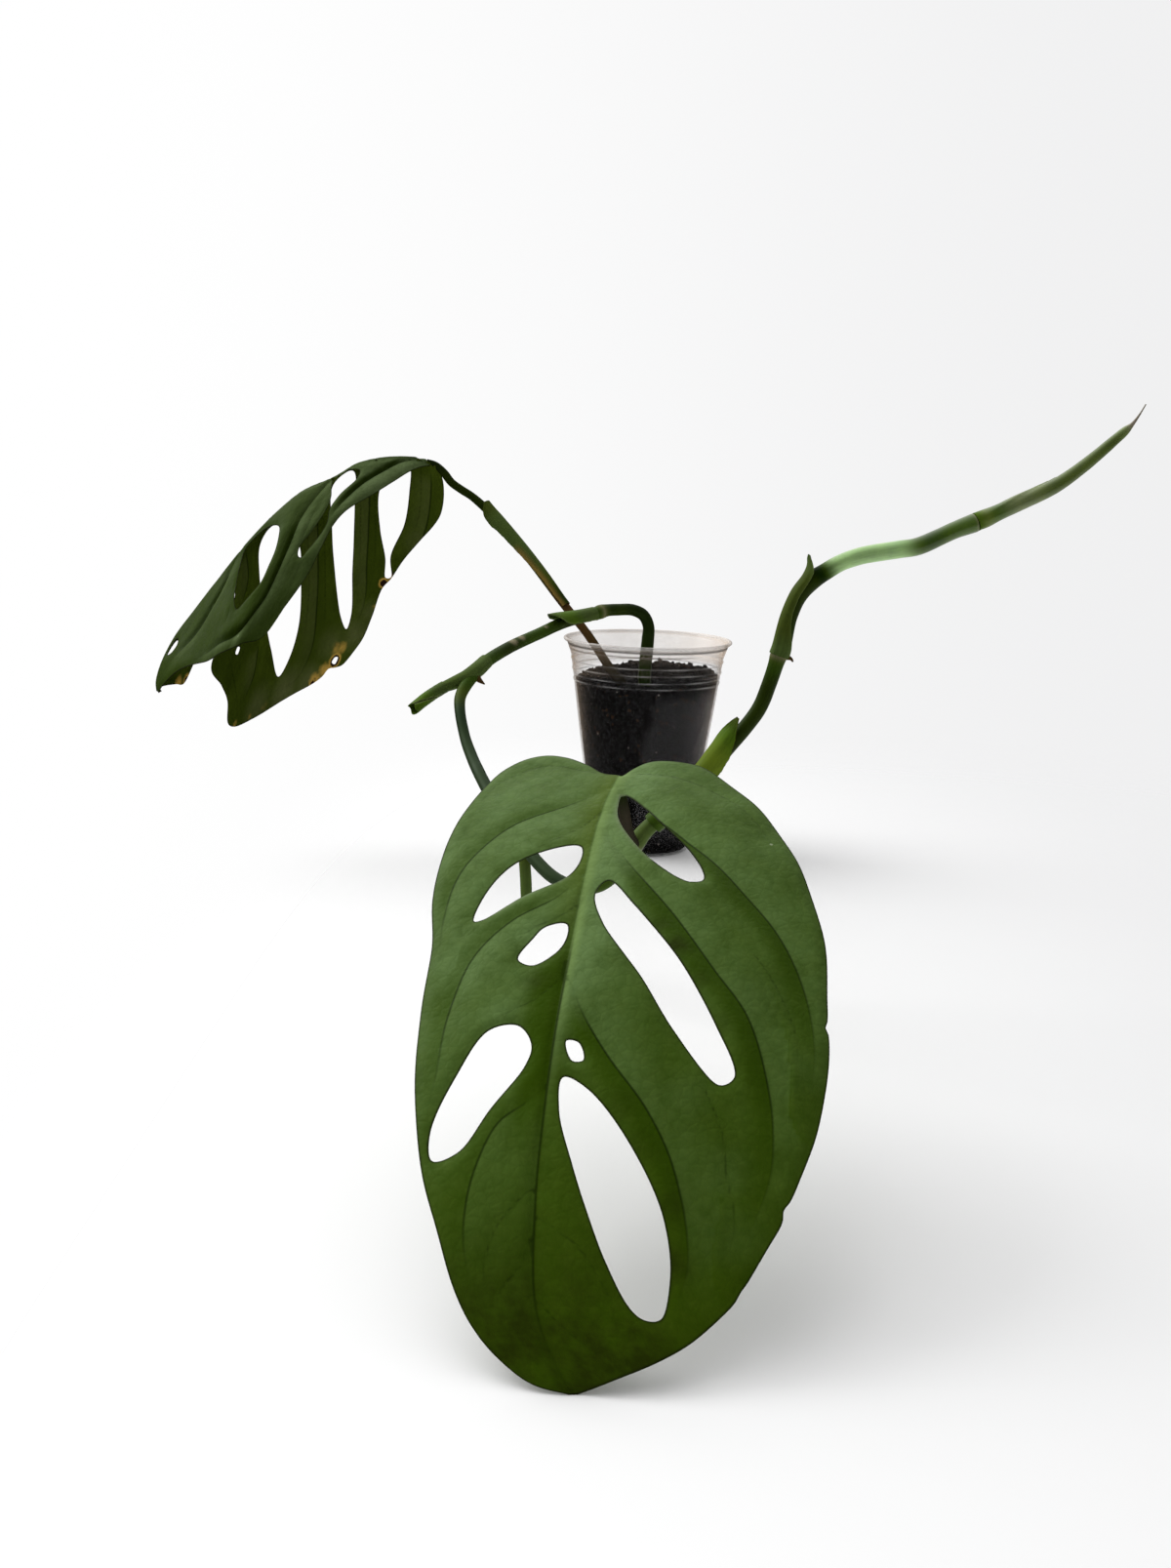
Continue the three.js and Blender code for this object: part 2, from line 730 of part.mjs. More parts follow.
function cup() {
  const outside = [[0, 0], [BASE_RADIUS - 2, 0], [BASE_RADIUS - 0.5, 0.8], [cupRadius(3), 3]];
  for (const z of [25, 50, 75, 92]) outside.push([cupRadius(z), z]);
  for (const z of RING_HEIGHTS) {
    const [low, high] = [z - RING_HALF_HEIGHT, z + RING_HALF_HEIGHT];
    outside.push([cupRadius(low), low], [cupRadius(z) + RING_BULGE, z], [cupRadius(high), high]);
  }
  outside.push([cupRadius(117), 117], [RIM_RADIUS - 1, CUP_HEIGHT - 2.2]);
  const lip = [
    [RIM_RADIUS, CUP_HEIGHT - 1.4],
    [RIM_RADIUS - 0.2, CUP_HEIGHT - 0.3],
    [RIM_RADIUS - 1.2, CUP_HEIGHT],
  ];
  const inside = [CUP_HEIGHT - 1, 117, FLARE_START, 92, 50, 4].map((z) => [cupRadius(z) - CUP_WALL, z]);
  inside.push([BASE_RADIUS - 2, FLOOR_THICKNESS], [0, FLOOR_THICKNESS]);
  const profile = [...outside, ...lip, ...inside].map(([r, z]) => new THREE.Vector2(r, z));
  return new THREE.LatheGeometry(profile, CUP_SEGMENTS).rotateX(Math.PI / 2);
}

// The soil lies higher at the back and to the right
function soilHeight(x, y) {
  const lumps = 1.1 * Math.sin(x * 0.31 + 1) * Math.cos(y * 0.27) + 0.7 * Math.sin(x * 0.55 + y * 0.43);
  return SOIL_TOP + 0.05 * x + 0.07 * y + lumps;
}

function soil() {
  const fit = (z) => cupRadius(z) - CUP_WALL - SEAT_GAP;
  const bottom = FLOOR_THICKNESS + SEAT_GAP;
  const levels = [[BASE_RADIUS - 2.5, bottom], [fit(4), 4.2], [fit(35), 35], [fit(65), 65], [fit(88), 88]];
  const points = [new THREE.Vector3(0, 0, bottom)];
  const ringAt = (radius, height) => {
    for (let k = 0; k < CUP_SEGMENTS; k += 1) {
      const angle = (2 * Math.PI * k) / CUP_SEGMENTS;
      const x = radius * Math.cos(angle);
      const y = radius * Math.sin(angle);
      points.push(new THREE.Vector3(x, y, height(x, y)));
    }
  };
  levels.forEach(([radius, z]) => ringAt(radius, () => z));
  for (let ring = SOIL_RINGS; ring > 0; ring -= 1) {
    ringAt((fit(SOIL_TOP - 4) * ring) / SOIL_RINGS, soilHeight);
  }
  const rings = levels.length + SOIL_RINGS;
  const last = points.push(new THREE.Vector3(0, 0, soilHeight(0, 0))) - 1;
  const triangles = [];
  for (let k = 0; k < CUP_SEGMENTS; k += 1) {
    const next = (k + 1) % CUP_SEGMENTS;
    triangles.push([0, 1 + next, 1 + k]);
    for (let ring = 0; ring < rings - 1; ring += 1) {
      const low = 1 + ring * CUP_SEGMENTS;
      const high = low + CUP_SEGMENTS;
      triangles.push([low + k, low + next, high + next], [low + k, high + next, high + k]);
    }
    const top = 1 + (rings - 1) * CUP_SEGMENTS;
    triangles.push([top + k, top + next, last]);
  }
  const hole = (route) => stem(route.slice(0, 4).map(([x, y, z, radius], i) => {
    return [x, y, i === 0 ? z - SEAT_GAP : z, radius + SEAT_GAP + 0.15];
  }), 12, 7);
  return cut(geometryFrom(points, triangles), hole(MAIN_VINE), hole(BACK_STEM));
}

const plant = new THREE.Group();

function add(name, geometry, colour, roughness) {
  const mesh = new THREE.Mesh(geometry, material(colour, roughness));
  mesh.name = name;
  plant.add(mesh);
}

const vineRoom = stem(widened(MAIN_VINE, SEAT_GAP));

add("clear_cup", cup(), COLOURS.cup, 0.15);
add("potting_soil", soil(), COLOURS.soil, 0.95);
add("main_vine", joined(stem(MAIN_VINE), stem(VINE_SPUR, 6), stem(VINE_NUB, 6)), COLOURS.stem);
add("arch_sheath", sheath(ARCH_SHEATH), COLOURS.sheath);
add("right_sheath", sheath(RIGHT_SHEATH), COLOURS.sheath);
add("upper_sheath", sheath(UPPER_SHEATH), COLOURS.stem);
add("rolled_new_leaf", stem(NEW_LEAF), COLOURS.shoot);
add("cut_petiole_left", cut(stem(LEFT_STUB, 8), vineRoom), COLOURS.shoot);
add("cut_petiole_low", cut(stem(LOW_STUB, 8), vineRoom), COLOURS.shoot);
add("front_petiole", cut(stem(FRONT_PETIOLE, 8, 12), vineRoom), COLOURS.stem);
add("front_leaf", frontLeaf(), COLOURS.leaf, 0.4);
add("back_stem", stem(BACK_STEM, 8), COLOURS.brown);
add("back_sheath", sheath(BACK_SHEATH), COLOURS.sheath);
add("back_petiole", stem(BACK_PETIOLE, 8), COLOURS.stem);
add("back_leaf", backLeaf(), COLOURS.darkLeaf, 0.45);

export default plant;
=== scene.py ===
"""A climbing aroid in a clear plastic cup of soil.

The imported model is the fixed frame. Each part of the plant is a class that builds its own fine mesh in the
same place as the solid it stands for, and dresses it with a procedural finish. Sizes are in millimetres, as
on the real plant, and become metres where a mesh is made. Z is up, X goes right and Y away from the viewer.
"""

import logging
import math
from dataclasses import dataclass, field
from enum import Enum
from functools import reduce

import bpy
import numpy as np
from mathutils import Matrix, Vector
from mathutils.geometry import delaunay_2d_cdt


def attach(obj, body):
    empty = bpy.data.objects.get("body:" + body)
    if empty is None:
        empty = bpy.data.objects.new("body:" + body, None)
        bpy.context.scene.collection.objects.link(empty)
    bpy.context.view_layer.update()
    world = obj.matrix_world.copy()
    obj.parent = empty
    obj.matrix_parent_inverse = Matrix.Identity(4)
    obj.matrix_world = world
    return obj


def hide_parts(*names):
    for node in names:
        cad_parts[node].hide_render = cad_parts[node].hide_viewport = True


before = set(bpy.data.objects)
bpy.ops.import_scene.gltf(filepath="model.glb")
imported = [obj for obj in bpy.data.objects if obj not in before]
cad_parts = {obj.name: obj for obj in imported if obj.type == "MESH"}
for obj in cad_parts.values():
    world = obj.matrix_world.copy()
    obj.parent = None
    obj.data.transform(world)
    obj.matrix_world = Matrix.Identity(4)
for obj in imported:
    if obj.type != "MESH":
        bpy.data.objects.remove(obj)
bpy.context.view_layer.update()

LOG = logging.getLogger("plant")
MM = 0.001
SEED = 7
BODY = "root"

Colour = tuple[float, float, float]
Points = list[tuple[float, ...]]
Faces = list[tuple[int, ...]]
Array = np.ndarray
Piece = bpy.types.Object
Material = bpy.types.Material
Tree = bpy.types.NodeTree
Node = bpy.types.Node
Socket = bpy.types.NodeSocket
Sockets = bpy.types.bpy_prop_collection


# Number helpers
def smooth(value: Array | float) -> Array:
    """Return the smooth step of a value between 0 and 1."""
    t = np.clip(value, 0.0, 1.0)
    return t * t * (3.0 - 2.0 * t)


def bell(distance: Array, width: float | Array) -> Array:
    """Return 1 at no distance, falling off softly over a width."""
    return np.exp(-((distance / width) ** 2))


def between(ends: tuple[float, float], share: Array) -> Array:
    """Return the value at a share of the way from one end to the other."""
    return ends[0] + (ends[1] - ends[0]) * share


def unit(vectors: Array) -> Array:
    """Return vectors scaled to length 1."""
    return vectors / np.maximum(np.linalg.norm(vectors, axis=-1, keepdims=True), 1e-12)


def run_lengths(places: Array) -> Array:
    """Return the length passed at each point of a line."""
    return np.concatenate([[0.0], np.cumsum(np.linalg.norm(np.diff(places, axis=0), axis=1))])


def rgba(colour: tuple[float, ...]) -> tuple[float, float, float, float]:
    """Return a colour with full alpha."""
    return (*colour[:3], 1.0)


class SmoothRoute:
    """A smooth line through points, with further values such as the radius carried along."""

    def __init__(self, points: Points, closed: bool = False, axes: int = 3) -> None:
        """Store the points.

        Args:
            points: The points, each with its place first and further values behind.
            closed: Whether the line returns to its first point.
            axes: How many of the values are the place.
        """
        self.points = np.asarray(points, float)
        self.closed = closed
        self.axes = axes
        self.spans = len(points) if closed else len(points) - 1

    def at(self, share: Array) -> Array:
        """Return the values at shares from 0 to 1, each span taking the same share.

        Args:
            share: Where to look along the line.

        Returns:
            One row for each share.
        """
        knots = self.points
        if self.closed:
            padded = np.vstack([knots[-1:], knots, knots[:2]])
        else:
            padded = np.vstack([2 * knots[0] - knots[1], knots, 2 * knots[-1] - knots[-2]])
        place = np.clip(np.atleast_1d(share), 0.0, 1.0) * self.spans
        span = np.minimum(place.astype(int), self.spans - 1)
        t = (place - span)[:, None]
        before, start, end, after = (padded[span + i] for i in range(4))

        def reach(a: Array, b: Array) -> Array:
            """Return the step of the line's own measure from one point to the next."""
            gap = np.linalg.norm((b - a)[:, : self.axes], axis=1, keepdims=True)
            return np.maximum(np.sqrt(gap), 1e-4)

        first, middle, last = reach(before, start), reach(start, end), reach(end, after)
        leave = (start - before) / first - (end - before) / (first + middle) + (end - start) / middle
        arrive = (end - start) / middle - (after - start) / (middle + last) + (after - end) / last
        leave = leave * middle
        arrive = arrive * middle
        square = -3 * start + 3 * end - 2 * leave - arrive
        cube = 2 * start - 2 * end + leave + arrive
        return start + leave * t + square * t**2 + cube * t**3

    def sampled(self, spacing: float) -> Array:
        """Return values about a spacing apart, the given points among them.

        Args:
            spacing: The distance between two samples.

        Returns:
            The rows of values. A closed line does not repeat its first point.
        """
        shares = []
        for i in range(self.spans):
            here = self.points[i, : self.axes]
            there = self.points[(i + 1) % len(self.points), : self.axes]
            count = max(1, round(float(np.linalg.norm(there - here)) / spacing))
            shares.extend((i + j / count) / self.spans for j in range(count))
        if not self.closed:
            shares.append(1.0)
        return self.at(np.array(shares))


class MeasuredRoute:
    """A smooth line that is read by the length along it."""

    def __init__(self, points: Points, steps: int = 1200) -> None:
        """Measure the line.

        Args:
            points: The points x, y, z.
            steps: How many short steps measure it.
        """
        self.places = SmoothRoute(points).at(np.linspace(0.0, 1.0, steps + 1))
        self.run = run_lengths(self.places)
        self.length = float(self.run[-1])
        self.tangents = unit(np.gradient(self.places, self.run, axis=0))

    def at(self, length: Array) -> tuple[Array, Array]:
        """Return the place and the direction at lengths along the line, which runs straight past its ends."""
        inside = np.clip(length, 0.0, self.length)
        place, along = (
            np.stack([np.interp(inside, self.run, rows[:, k]) for k in range(3)], axis=-1)
            for rows in (self.places, self.tangents)
        )
        along = unit(along)
        return place + along * (length - inside)[:, None], along


@dataclass
class Nearness:
    """How flat points lie to the nearest of some lines.

    The side is 1 on the left of a line, looking back along it, and -1 on its right. The way is the share of
    the line's length passed at the nearest point.
    """

    distance: Array
    side: Array
    way: Array

    def valley(self, steep: float, gentle: float) -> Array:
        """Return a height from 0 on a line to 1 away from it, reached sooner on its first side.

        Args:
            steep: The width of the slope on the first side.
            gentle: The width on the other side.

        Returns:
            The height of each point, where the line fades out towards its end.
        """
        width = np.where(self.side > 0, steep, gentle)
        depth = (1.0 - np.clip(self.distance / width, 0.0, 1.0)) ** 2
        return 1.0 - depth * self.strength()

    def strength(self) -> Array:
        """Return 1 along most of a line, fading to 0 at its end."""
        return 1.0 - smooth((self.way - 0.6) / 0.4)


def nearest_lines(points: Array, lines: list[Array], portion: int = 1500) -> Nearness:
    """Measure how flat points lie to the nearest of some lines.

    Args:
        points: The points, one row each.
        lines: Open lines, each a row of flat points.
        portion: How many points are measured at once.

    Returns:
        The distance, the side and the way along the line.
    """
    starts = np.vstack([line[:-1] for line in lines])
    span = np.vstack([line[1:] for line in lines]) - starts
    square = np.maximum((span**2).sum(1), 1e-12)
    runs = [run_lengths(line)[1:] for line in lines]
    way_end = np.concatenate([run / max(run[-1], 1e-9) for run in runs])
    parts = []
    for low in range(0, len(points), portion):
        offset = points[low : low + portion, None, :] - starts[None]
        share = np.clip((offset * span[None]).sum(2) / square[None], 0.0, 1.0)
        away = offset - share[..., None] * span[None]
        gap = np.sqrt((away**2).sum(2))
        nearest = gap.argmin(1)
        rows = np.arange(len(gap))
        across, run = away[rows, nearest], span[nearest]
        side = np.sign(run[:, 1] * across[:, 0] - run[:, 0] * across[:, 1])
        parts.append((gap[rows, nearest], side, way_end[nearest]))
    return Nearness(*(np.concatenate(part) for part in zip(*parts)))


def inside_loop(points: Array, loop: Array) -> Array:
    """Tell which flat points lie inside a closed loop."""
    result = np.zeros(len(points), bool)
    for (x0, y0), (x1, y1) in zip(loop, np.roll(loop, -1, axis=0)):
        if y0 == y1:
            continue
        crosses = (y0 > points[:, 1]) != (y1 > points[:, 1])
        at_height = (x1 - x0) * (points[:, 1] - y0) / (y1 - y0) + x0
        result ^= crosses & (points[:, 0] < at_height)
    return result


# Mesh helpers
def linked(name: str, data: bpy.types.ID) -> Piece:
    """Make an object from its data and put it in the scene."""
    item = bpy.data.objects.new(name, data)
    bpy.context.scene.collection.objects.link(item)
    return item


def store(mesh: bpy.types.Mesh, name: str, data: Array) -> None:
    """Store a named value on each point of a mesh: a number, a vector or a colour with alpha."""
    data = np.asarray(data, np.float32)
    kinds = {1: ("FLOAT", "value"), 3: ("FLOAT_VECTOR", "vector"), 4: ("FLOAT_COLOR", "color")}
    kind, key = kinds[data.size // len(data)]
    mesh.attributes.new(name, kind, "POINT").data.foreach_set(key, data.ravel())


def new_mesh_object(
    name: str,
    points: Array,
    faces: Faces,
    finish: Material,
    values: dict[str, Array] | None = None,
    sharp: float = 60.0,
) -> Piece:
    """Make a mesh object from points in millimetres.

    Args:
        name: The name of the piece.
        points: The points, one row each.
        faces: The corners of each face, anticlockwise from outside.
        finish: The material.
        values: Named values of each point: numbers, vectors or colours with alpha.
        sharp: The angle in degrees past which an edge stays sharp.

    Returns:
        The new object, at the origin.
    """
    mesh = bpy.data.meshes.new(name)
    mesh.from_pydata((np.asarray(points) * MM).tolist(), [], [tuple(map(int, face)) for face in faces])
    for key, data in (values or {}).items():
        store(mesh, key, data)
    mesh.polygons.foreach_set("use_smooth", [True] * len(mesh.polygons))
    mesh.set_sharp_from_angle(angle=math.radians(sharp))
    mesh.materials.append(finish)
    mesh.validate()
    return linked(name, mesh)


def turned_faces(rows: int, columns: int) -> Faces:
    """Return the faces of a turned body.

    Args:
        rows: How many rings of points it has, from the bottom up, between one point below and one above.
        columns: How many points a ring has.

    Returns:
        The corners of each face.
    """
    faces: Faces = []
    top = 1 + (rows - 1) * columns
    for k in range(columns):
        after = (k + 1) % columns
        faces.append((0, 1 + after, 1 + k))
        for low in range(1, top, columns):
            faces.append((low + k, low + after, low + columns + after, low + columns + k))
        faces.append((top + k, top + after, top + columns))
    return faces


def keep_piece(piece: Piece, slot: str, *nodes: str) -> None:
    """Put a finished piece on the plant's body and let it stand for its nodes.

    Args:
        piece: The finished object.
        slot: Not used.
        nodes: The nodes it stands for.
    """
    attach(piece, BODY)
    if nodes:
        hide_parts(*nodes)
    LOG.info("%s: %d faces", piece.name, len(piece.data.polygons))


# Effects that several finishes share
class Effect(Enum):
    """The shader node groups."""

    MOTTLE = "soft mottling"
    STREAKS = "long streaks"
    SPECKS = "small specks"
    VEIN_NET = "net of fine veins"


class NodeSheet:
    """Adds and links the nodes of one tree."""

    def __init__(self, tree: Tree) -> None:
        """Keep the tree."""
        self.tree = tree

    def add(self, kind: str, values: dict | None = None, **settings: object) -> Node:
        """Add a node.

        Args:
            kind: The node's type name.
            values: What each input gets: a socket to link, or a value. Keys are names or numbers.
            settings: Properties of the node itself.

        Returns:
            The new node.
        """
        node = self.tree.nodes.new(kind)
        for key, value in settings.items():
            setattr(node, key, value)
        self.feed_all(node, values or {})
        return node

    def feed(self, socket: Socket, value: object) -> None:
        """Link a socket to an input, or set the input's own value."""
        if isinstance(value, Socket):
            self.tree.links.new(value, socket)
        else:
            socket.default_value = value

    def feed_all(self, node: Node, values: dict) -> None:
        """Feed several inputs of a node."""
        for key, value in values.items():
            self.feed(node.inputs[key], value)

    def maths(self, operation: str, *values: object, clamp: bool = False) -> Socket:
        """Return the result of a maths node of the tree's own kind."""
        node = self.add("ShaderNodeMath", dict(enumerate(values)), operation=operation, use_clamp=clamp)
        return node.outputs[0]

    def times(self, *factors: object) -> Socket:
        """Return the product of two or more numbers."""
        return reduce(lambda product, factor: self.maths("MULTIPLY", product, factor), factors)

    def times_plus(self, value: object, factor: object, added: object) -> Socket:
        """Return a value times a factor plus another value."""
        return self.maths("MULTIPLY_ADD", value, factor, added)

    def vector(self, operation: str, *values: object) -> Sockets:
        """Return the outputs of a vector maths node."""
        return self.add("ShaderNodeVectorMath", dict(enumerate(values)), operation=operation).outputs

    def scaled(self, vector: object, factor: object) -> Socket:
        """Return a vector times a number."""
        return self.add("ShaderNodeVectorMath", {0: vector, "Scale": factor}, operation="SCALE").outputs[0]

    def split(self, vector: Socket) -> Sockets:
        """Return the three parts of a vector."""
        return self.add("ShaderNodeSeparateXYZ", {0: vector}).outputs

    def blend(self, share: object, low: object, high: object, mode: str = "MIX") -> Socket:
        """Return a mix of two colours.

        Args:
            share: How much of the second colour shows.
            low: The first colour, as a socket or as numbers.
            high: The second colour.
            mode: How they mix.

        Returns:
            The mixed colour.
        """
        low, high = (rgba(colour) if isinstance(colour, tuple) else colour for colour in (low, high))
        node = self.add("ShaderNodeMix", {0: share, 6: low, 7: high}, data_type="RGBA", blend_type=mode)
        return node.outputs[2]

    def remap(self, value: object, low: float, high: float, start: float = 0.0, end: float = 1.0) -> Socket:
        """Return a value moved smoothly from one range to another.

        Args:
            value: The value.
            low: Where the first range starts.
            high: Where it ends.
            start: What the low end becomes.
            end: What the high end becomes.

        Returns:
            The new value.
        """
        values = {0: value, 1: low, 2: high, 3: start, 4: end}
        return self.add("ShaderNodeMapRange", values, interpolation_type="SMOOTHSTEP").outputs[0]

    def noise(self, vector: object, scale: object, detail: float, roughness: float = 0.5) -> Sockets:
        """Return the outputs of a noise texture, its value first and its colour second."""
        values = {"Vector": vector, "Scale": scale, "Detail": detail, "Roughness": roughness}
        return self.add("ShaderNodeTexNoise", values).outputs

    def named(self, name: str) -> Sockets:
        """Return the outputs of a value that comes with the mesh."""
        return self.add("ShaderNodeAttribute", attribute_name=name).outputs

    def number(self, name: str) -> Socket:
        """Return a number that comes with the mesh."""
        return self.named(name)["Fac"]

    def object_place(self) -> Socket:
        """Return the place in the object's own frame."""
        return self.add("ShaderNodeTexCoord").outputs["Object"]

    def effect(self, effect: Effect, vector: Socket, scale: float, **values: float) -> Sockets:
        """Place a shared effect.

        Args:
            effect: Which one.
            vector: The place it reads.
            scale: How fine it is.
            values: Its further inputs.

        Returns:
            The effect's outputs.
        """
        values = {"Vector": vector, "Scale": scale, **values}
        return self.add("ShaderNodeGroup", values, node_tree=EFFECT_TREES[effect]).outputs

    def bump(self, shader: Node, height: Socket, strength: float, depth: float) -> None:
        """Feed a height into the shader's normal.

        Args:
            shader: The main shader.
            height: The height, from 0 to 1.
            strength: How strongly it shows.
            depth: What a height of 1 means, in millimetres.
        """
        bump = self.add("ShaderNodeBump", {"Strength": strength, "Distance": depth * MM, "Height": height})
        self.feed(shader.inputs["Normal"], bump.outputs[0])

    def stored(self, geometry: Socket, name: str, value: Socket, kind: str = "FLOAT_VECTOR") -> Socket:
        """Return a geometry with a named value stored on its points."""
        values = {"Geometry": geometry, "Name": name, "Value": value}
        return self.add("GeometryNodeStoreNamedAttribute", values, data_type=kind, domain="POINT").outputs[0]

    def put_out(self, geometry: Socket, skin: Socket) -> None:
        """End a geometry tree: copies become real and get their material."""
        real = self.add("GeometryNodeRealizeInstances", {"Geometry": geometry}).outputs[0]
        dressed = self.add("GeometryNodeSetMaterial", {"Geometry": real, "Material": skin}).outputs[0]
        self.add("NodeGroupOutput", {"Geometry": dressed})


def start_group(
    name: str, kind: str, inputs: dict[str, tuple[str, object]], outputs: dict[str, str]
) -> tuple[Tree, NodeSheet, Sockets]:
    """Start a node group.

    Args:
        name: Its name.
        kind: The type of tree.
        inputs: For each named input its kind and its default value, or None.
        outputs: For each named output its kind.

    Returns:
        The tree, its node sheet and what its inputs put out.
    """
    tree = bpy.data.node_groups.new(name, kind)
    for key, (socket_kind, value) in inputs.items():
        socket = tree.interface.new_socket(name=key, in_out="INPUT", socket_type="NodeSocket" + socket_kind)
        if value is not None:
            socket.default_value = value
    for key, socket_kind in outputs.items():
        tree.interface.new_socket(name=key, in_out="OUTPUT", socket_type="NodeSocket" + socket_kind)
    sheet = NodeSheet(tree)
    return tree, sheet, sheet.add("NodeGroupInput").outputs


def start_effect(
    effect: Effect, outputs: tuple[str, ...], **values: float
) -> tuple[Tree, NodeSheet, Sockets]:
    """Start the group of an effect that reads a vector and some numbers, and puts out numbers."""
    inputs = {"Vector": ("Vector", None), **{key: ("Float", value) for key, value in values.items()}}
    return start_group(effect.value, "ShaderNodeTree", inputs, dict.fromkeys(outputs, "Float"))


def mottle_group() -> Tree:
    """Build soft, uneven patches: a mask from 0 to 1 and a height."""
    tree, sheet, source = start_effect(Effect.MOTTLE, ("Mask", "Height"), Scale=60.0, Contrast=1.0)
    broad = sheet.noise(source["Vector"], source["Scale"], 3.0)[0]
    fine = sheet.noise(source["Vector"], sheet.times(source["Scale"], 5.3), 4.0)[0]
    both = sheet.maths("ADD", sheet.times(broad, 0.72), sheet.times(fine, 0.28))
    centred = sheet.times(sheet.maths("SUBTRACT", both, 0.5), source["Contrast"])
    mask = sheet.maths("MULTIPLY_ADD", centred, 2.4, 0.5, clamp=True)
    sheet.add("NodeGroupOutput", {"Mask": mask, "Height": both})
    return tree


def streak_group() -> Tree:
    """Build streaks that run along the third axis of the vector: a mask and a height."""
    tree, sheet, source = start_effect(Effect.STREAKS, ("Mask", "Height"), Scale=900.0, Stretch=0.06)
    stretch = sheet.add("ShaderNodeCombineXYZ", {0: 1.0, 1: 1.0, 2: source["Stretch"]}).outputs[0]
    place = sheet.vector("MULTIPLY", source["Vector"], stretch)[0]
    lines = sheet.noise(place, source["Scale"], 3.0, 0.6)[0]
    sheet.add("NodeGroupOutput", {"Mask": sheet.remap(lines, 0.4, 0.62), "Height": lines})
    return tree


def speck_group() -> Tree:
    """Build a scatter of small round specks as a mask."""
    tree, sheet, source = start_effect(Effect.SPECKS, ("Mask",), Scale=120.0, Amount=0.2, Size=0.18)
    cells = sheet.add("ShaderNodeTexVoronoi", {"Vector": source["Vector"], "Scale": source["Scale"]}).outputs
    dot = sheet.maths("LESS_THAN", cells["Distance"], source["Size"])
    chosen = sheet.add("ShaderNodeSeparateColor", {0: cells["Color"]}).outputs[0]
    kept = sheet.maths("LESS_THAN", chosen, source["Amount"])
    sheet.add("NodeGroupOutput", {"Mask": sheet.times(dot, kept)})
    return tree


def vein_net_group() -> Tree:
    """Build the net of fine veins in a blade: a mask of its lines and a height."""
    tree, sheet, source = start_effect(Effect.VEIN_NET, ("Mask", "Height"), Scale=260.0)
    warp = sheet.noise(source["Vector"], 90.0, 2.0)["Color"]
    place = sheet.vector("ADD", source["Vector"], sheet.scaled(warp, 0.004))[0]
    values = {"Vector": place, "Scale": source["Scale"]}
    cells = sheet.add("ShaderNodeTexVoronoi", values, feature="DISTANCE_TO_EDGE").outputs["Distance"]
    mask = sheet.remap(cells, 0.0, 0.12, 1.0, 0.0)
    sheet.add("NodeGroupOutput", {"Mask": mask, "Height": sheet.remap(cells, 0.0, 0.3)})
    return tree


EFFECT_TREES = {
    Effect.MOTTLE: mottle_group(),
    Effect.STREAKS: streak_group(),
    Effect.SPECKS: speck_group(),
    Effect.VEIN_NET: vein_net_group(),
}


def start_material(name: str) -> tuple[Material, NodeSheet, Node]:
    """Make a material.

    Args:
        name: Its name.

    Returns:
        The material, its node sheet and its main shader.
    """
    material = bpy.data.materials.new(name)
    material.use_nodes = True
    material.node_tree.nodes.clear()
    sheet = NodeSheet(material.node_tree)
    shader = sheet.add("ShaderNodeBsdfPrincipled")
    sheet.add("ShaderNodeOutputMaterial", {"Surface": shader.outputs[0]})
    return material, sheet, shader


# Finishes
BROAD, PATCHY, SMALL, TINY, NET = 24.0, 75.0, 190.0, 260.0, 330.0


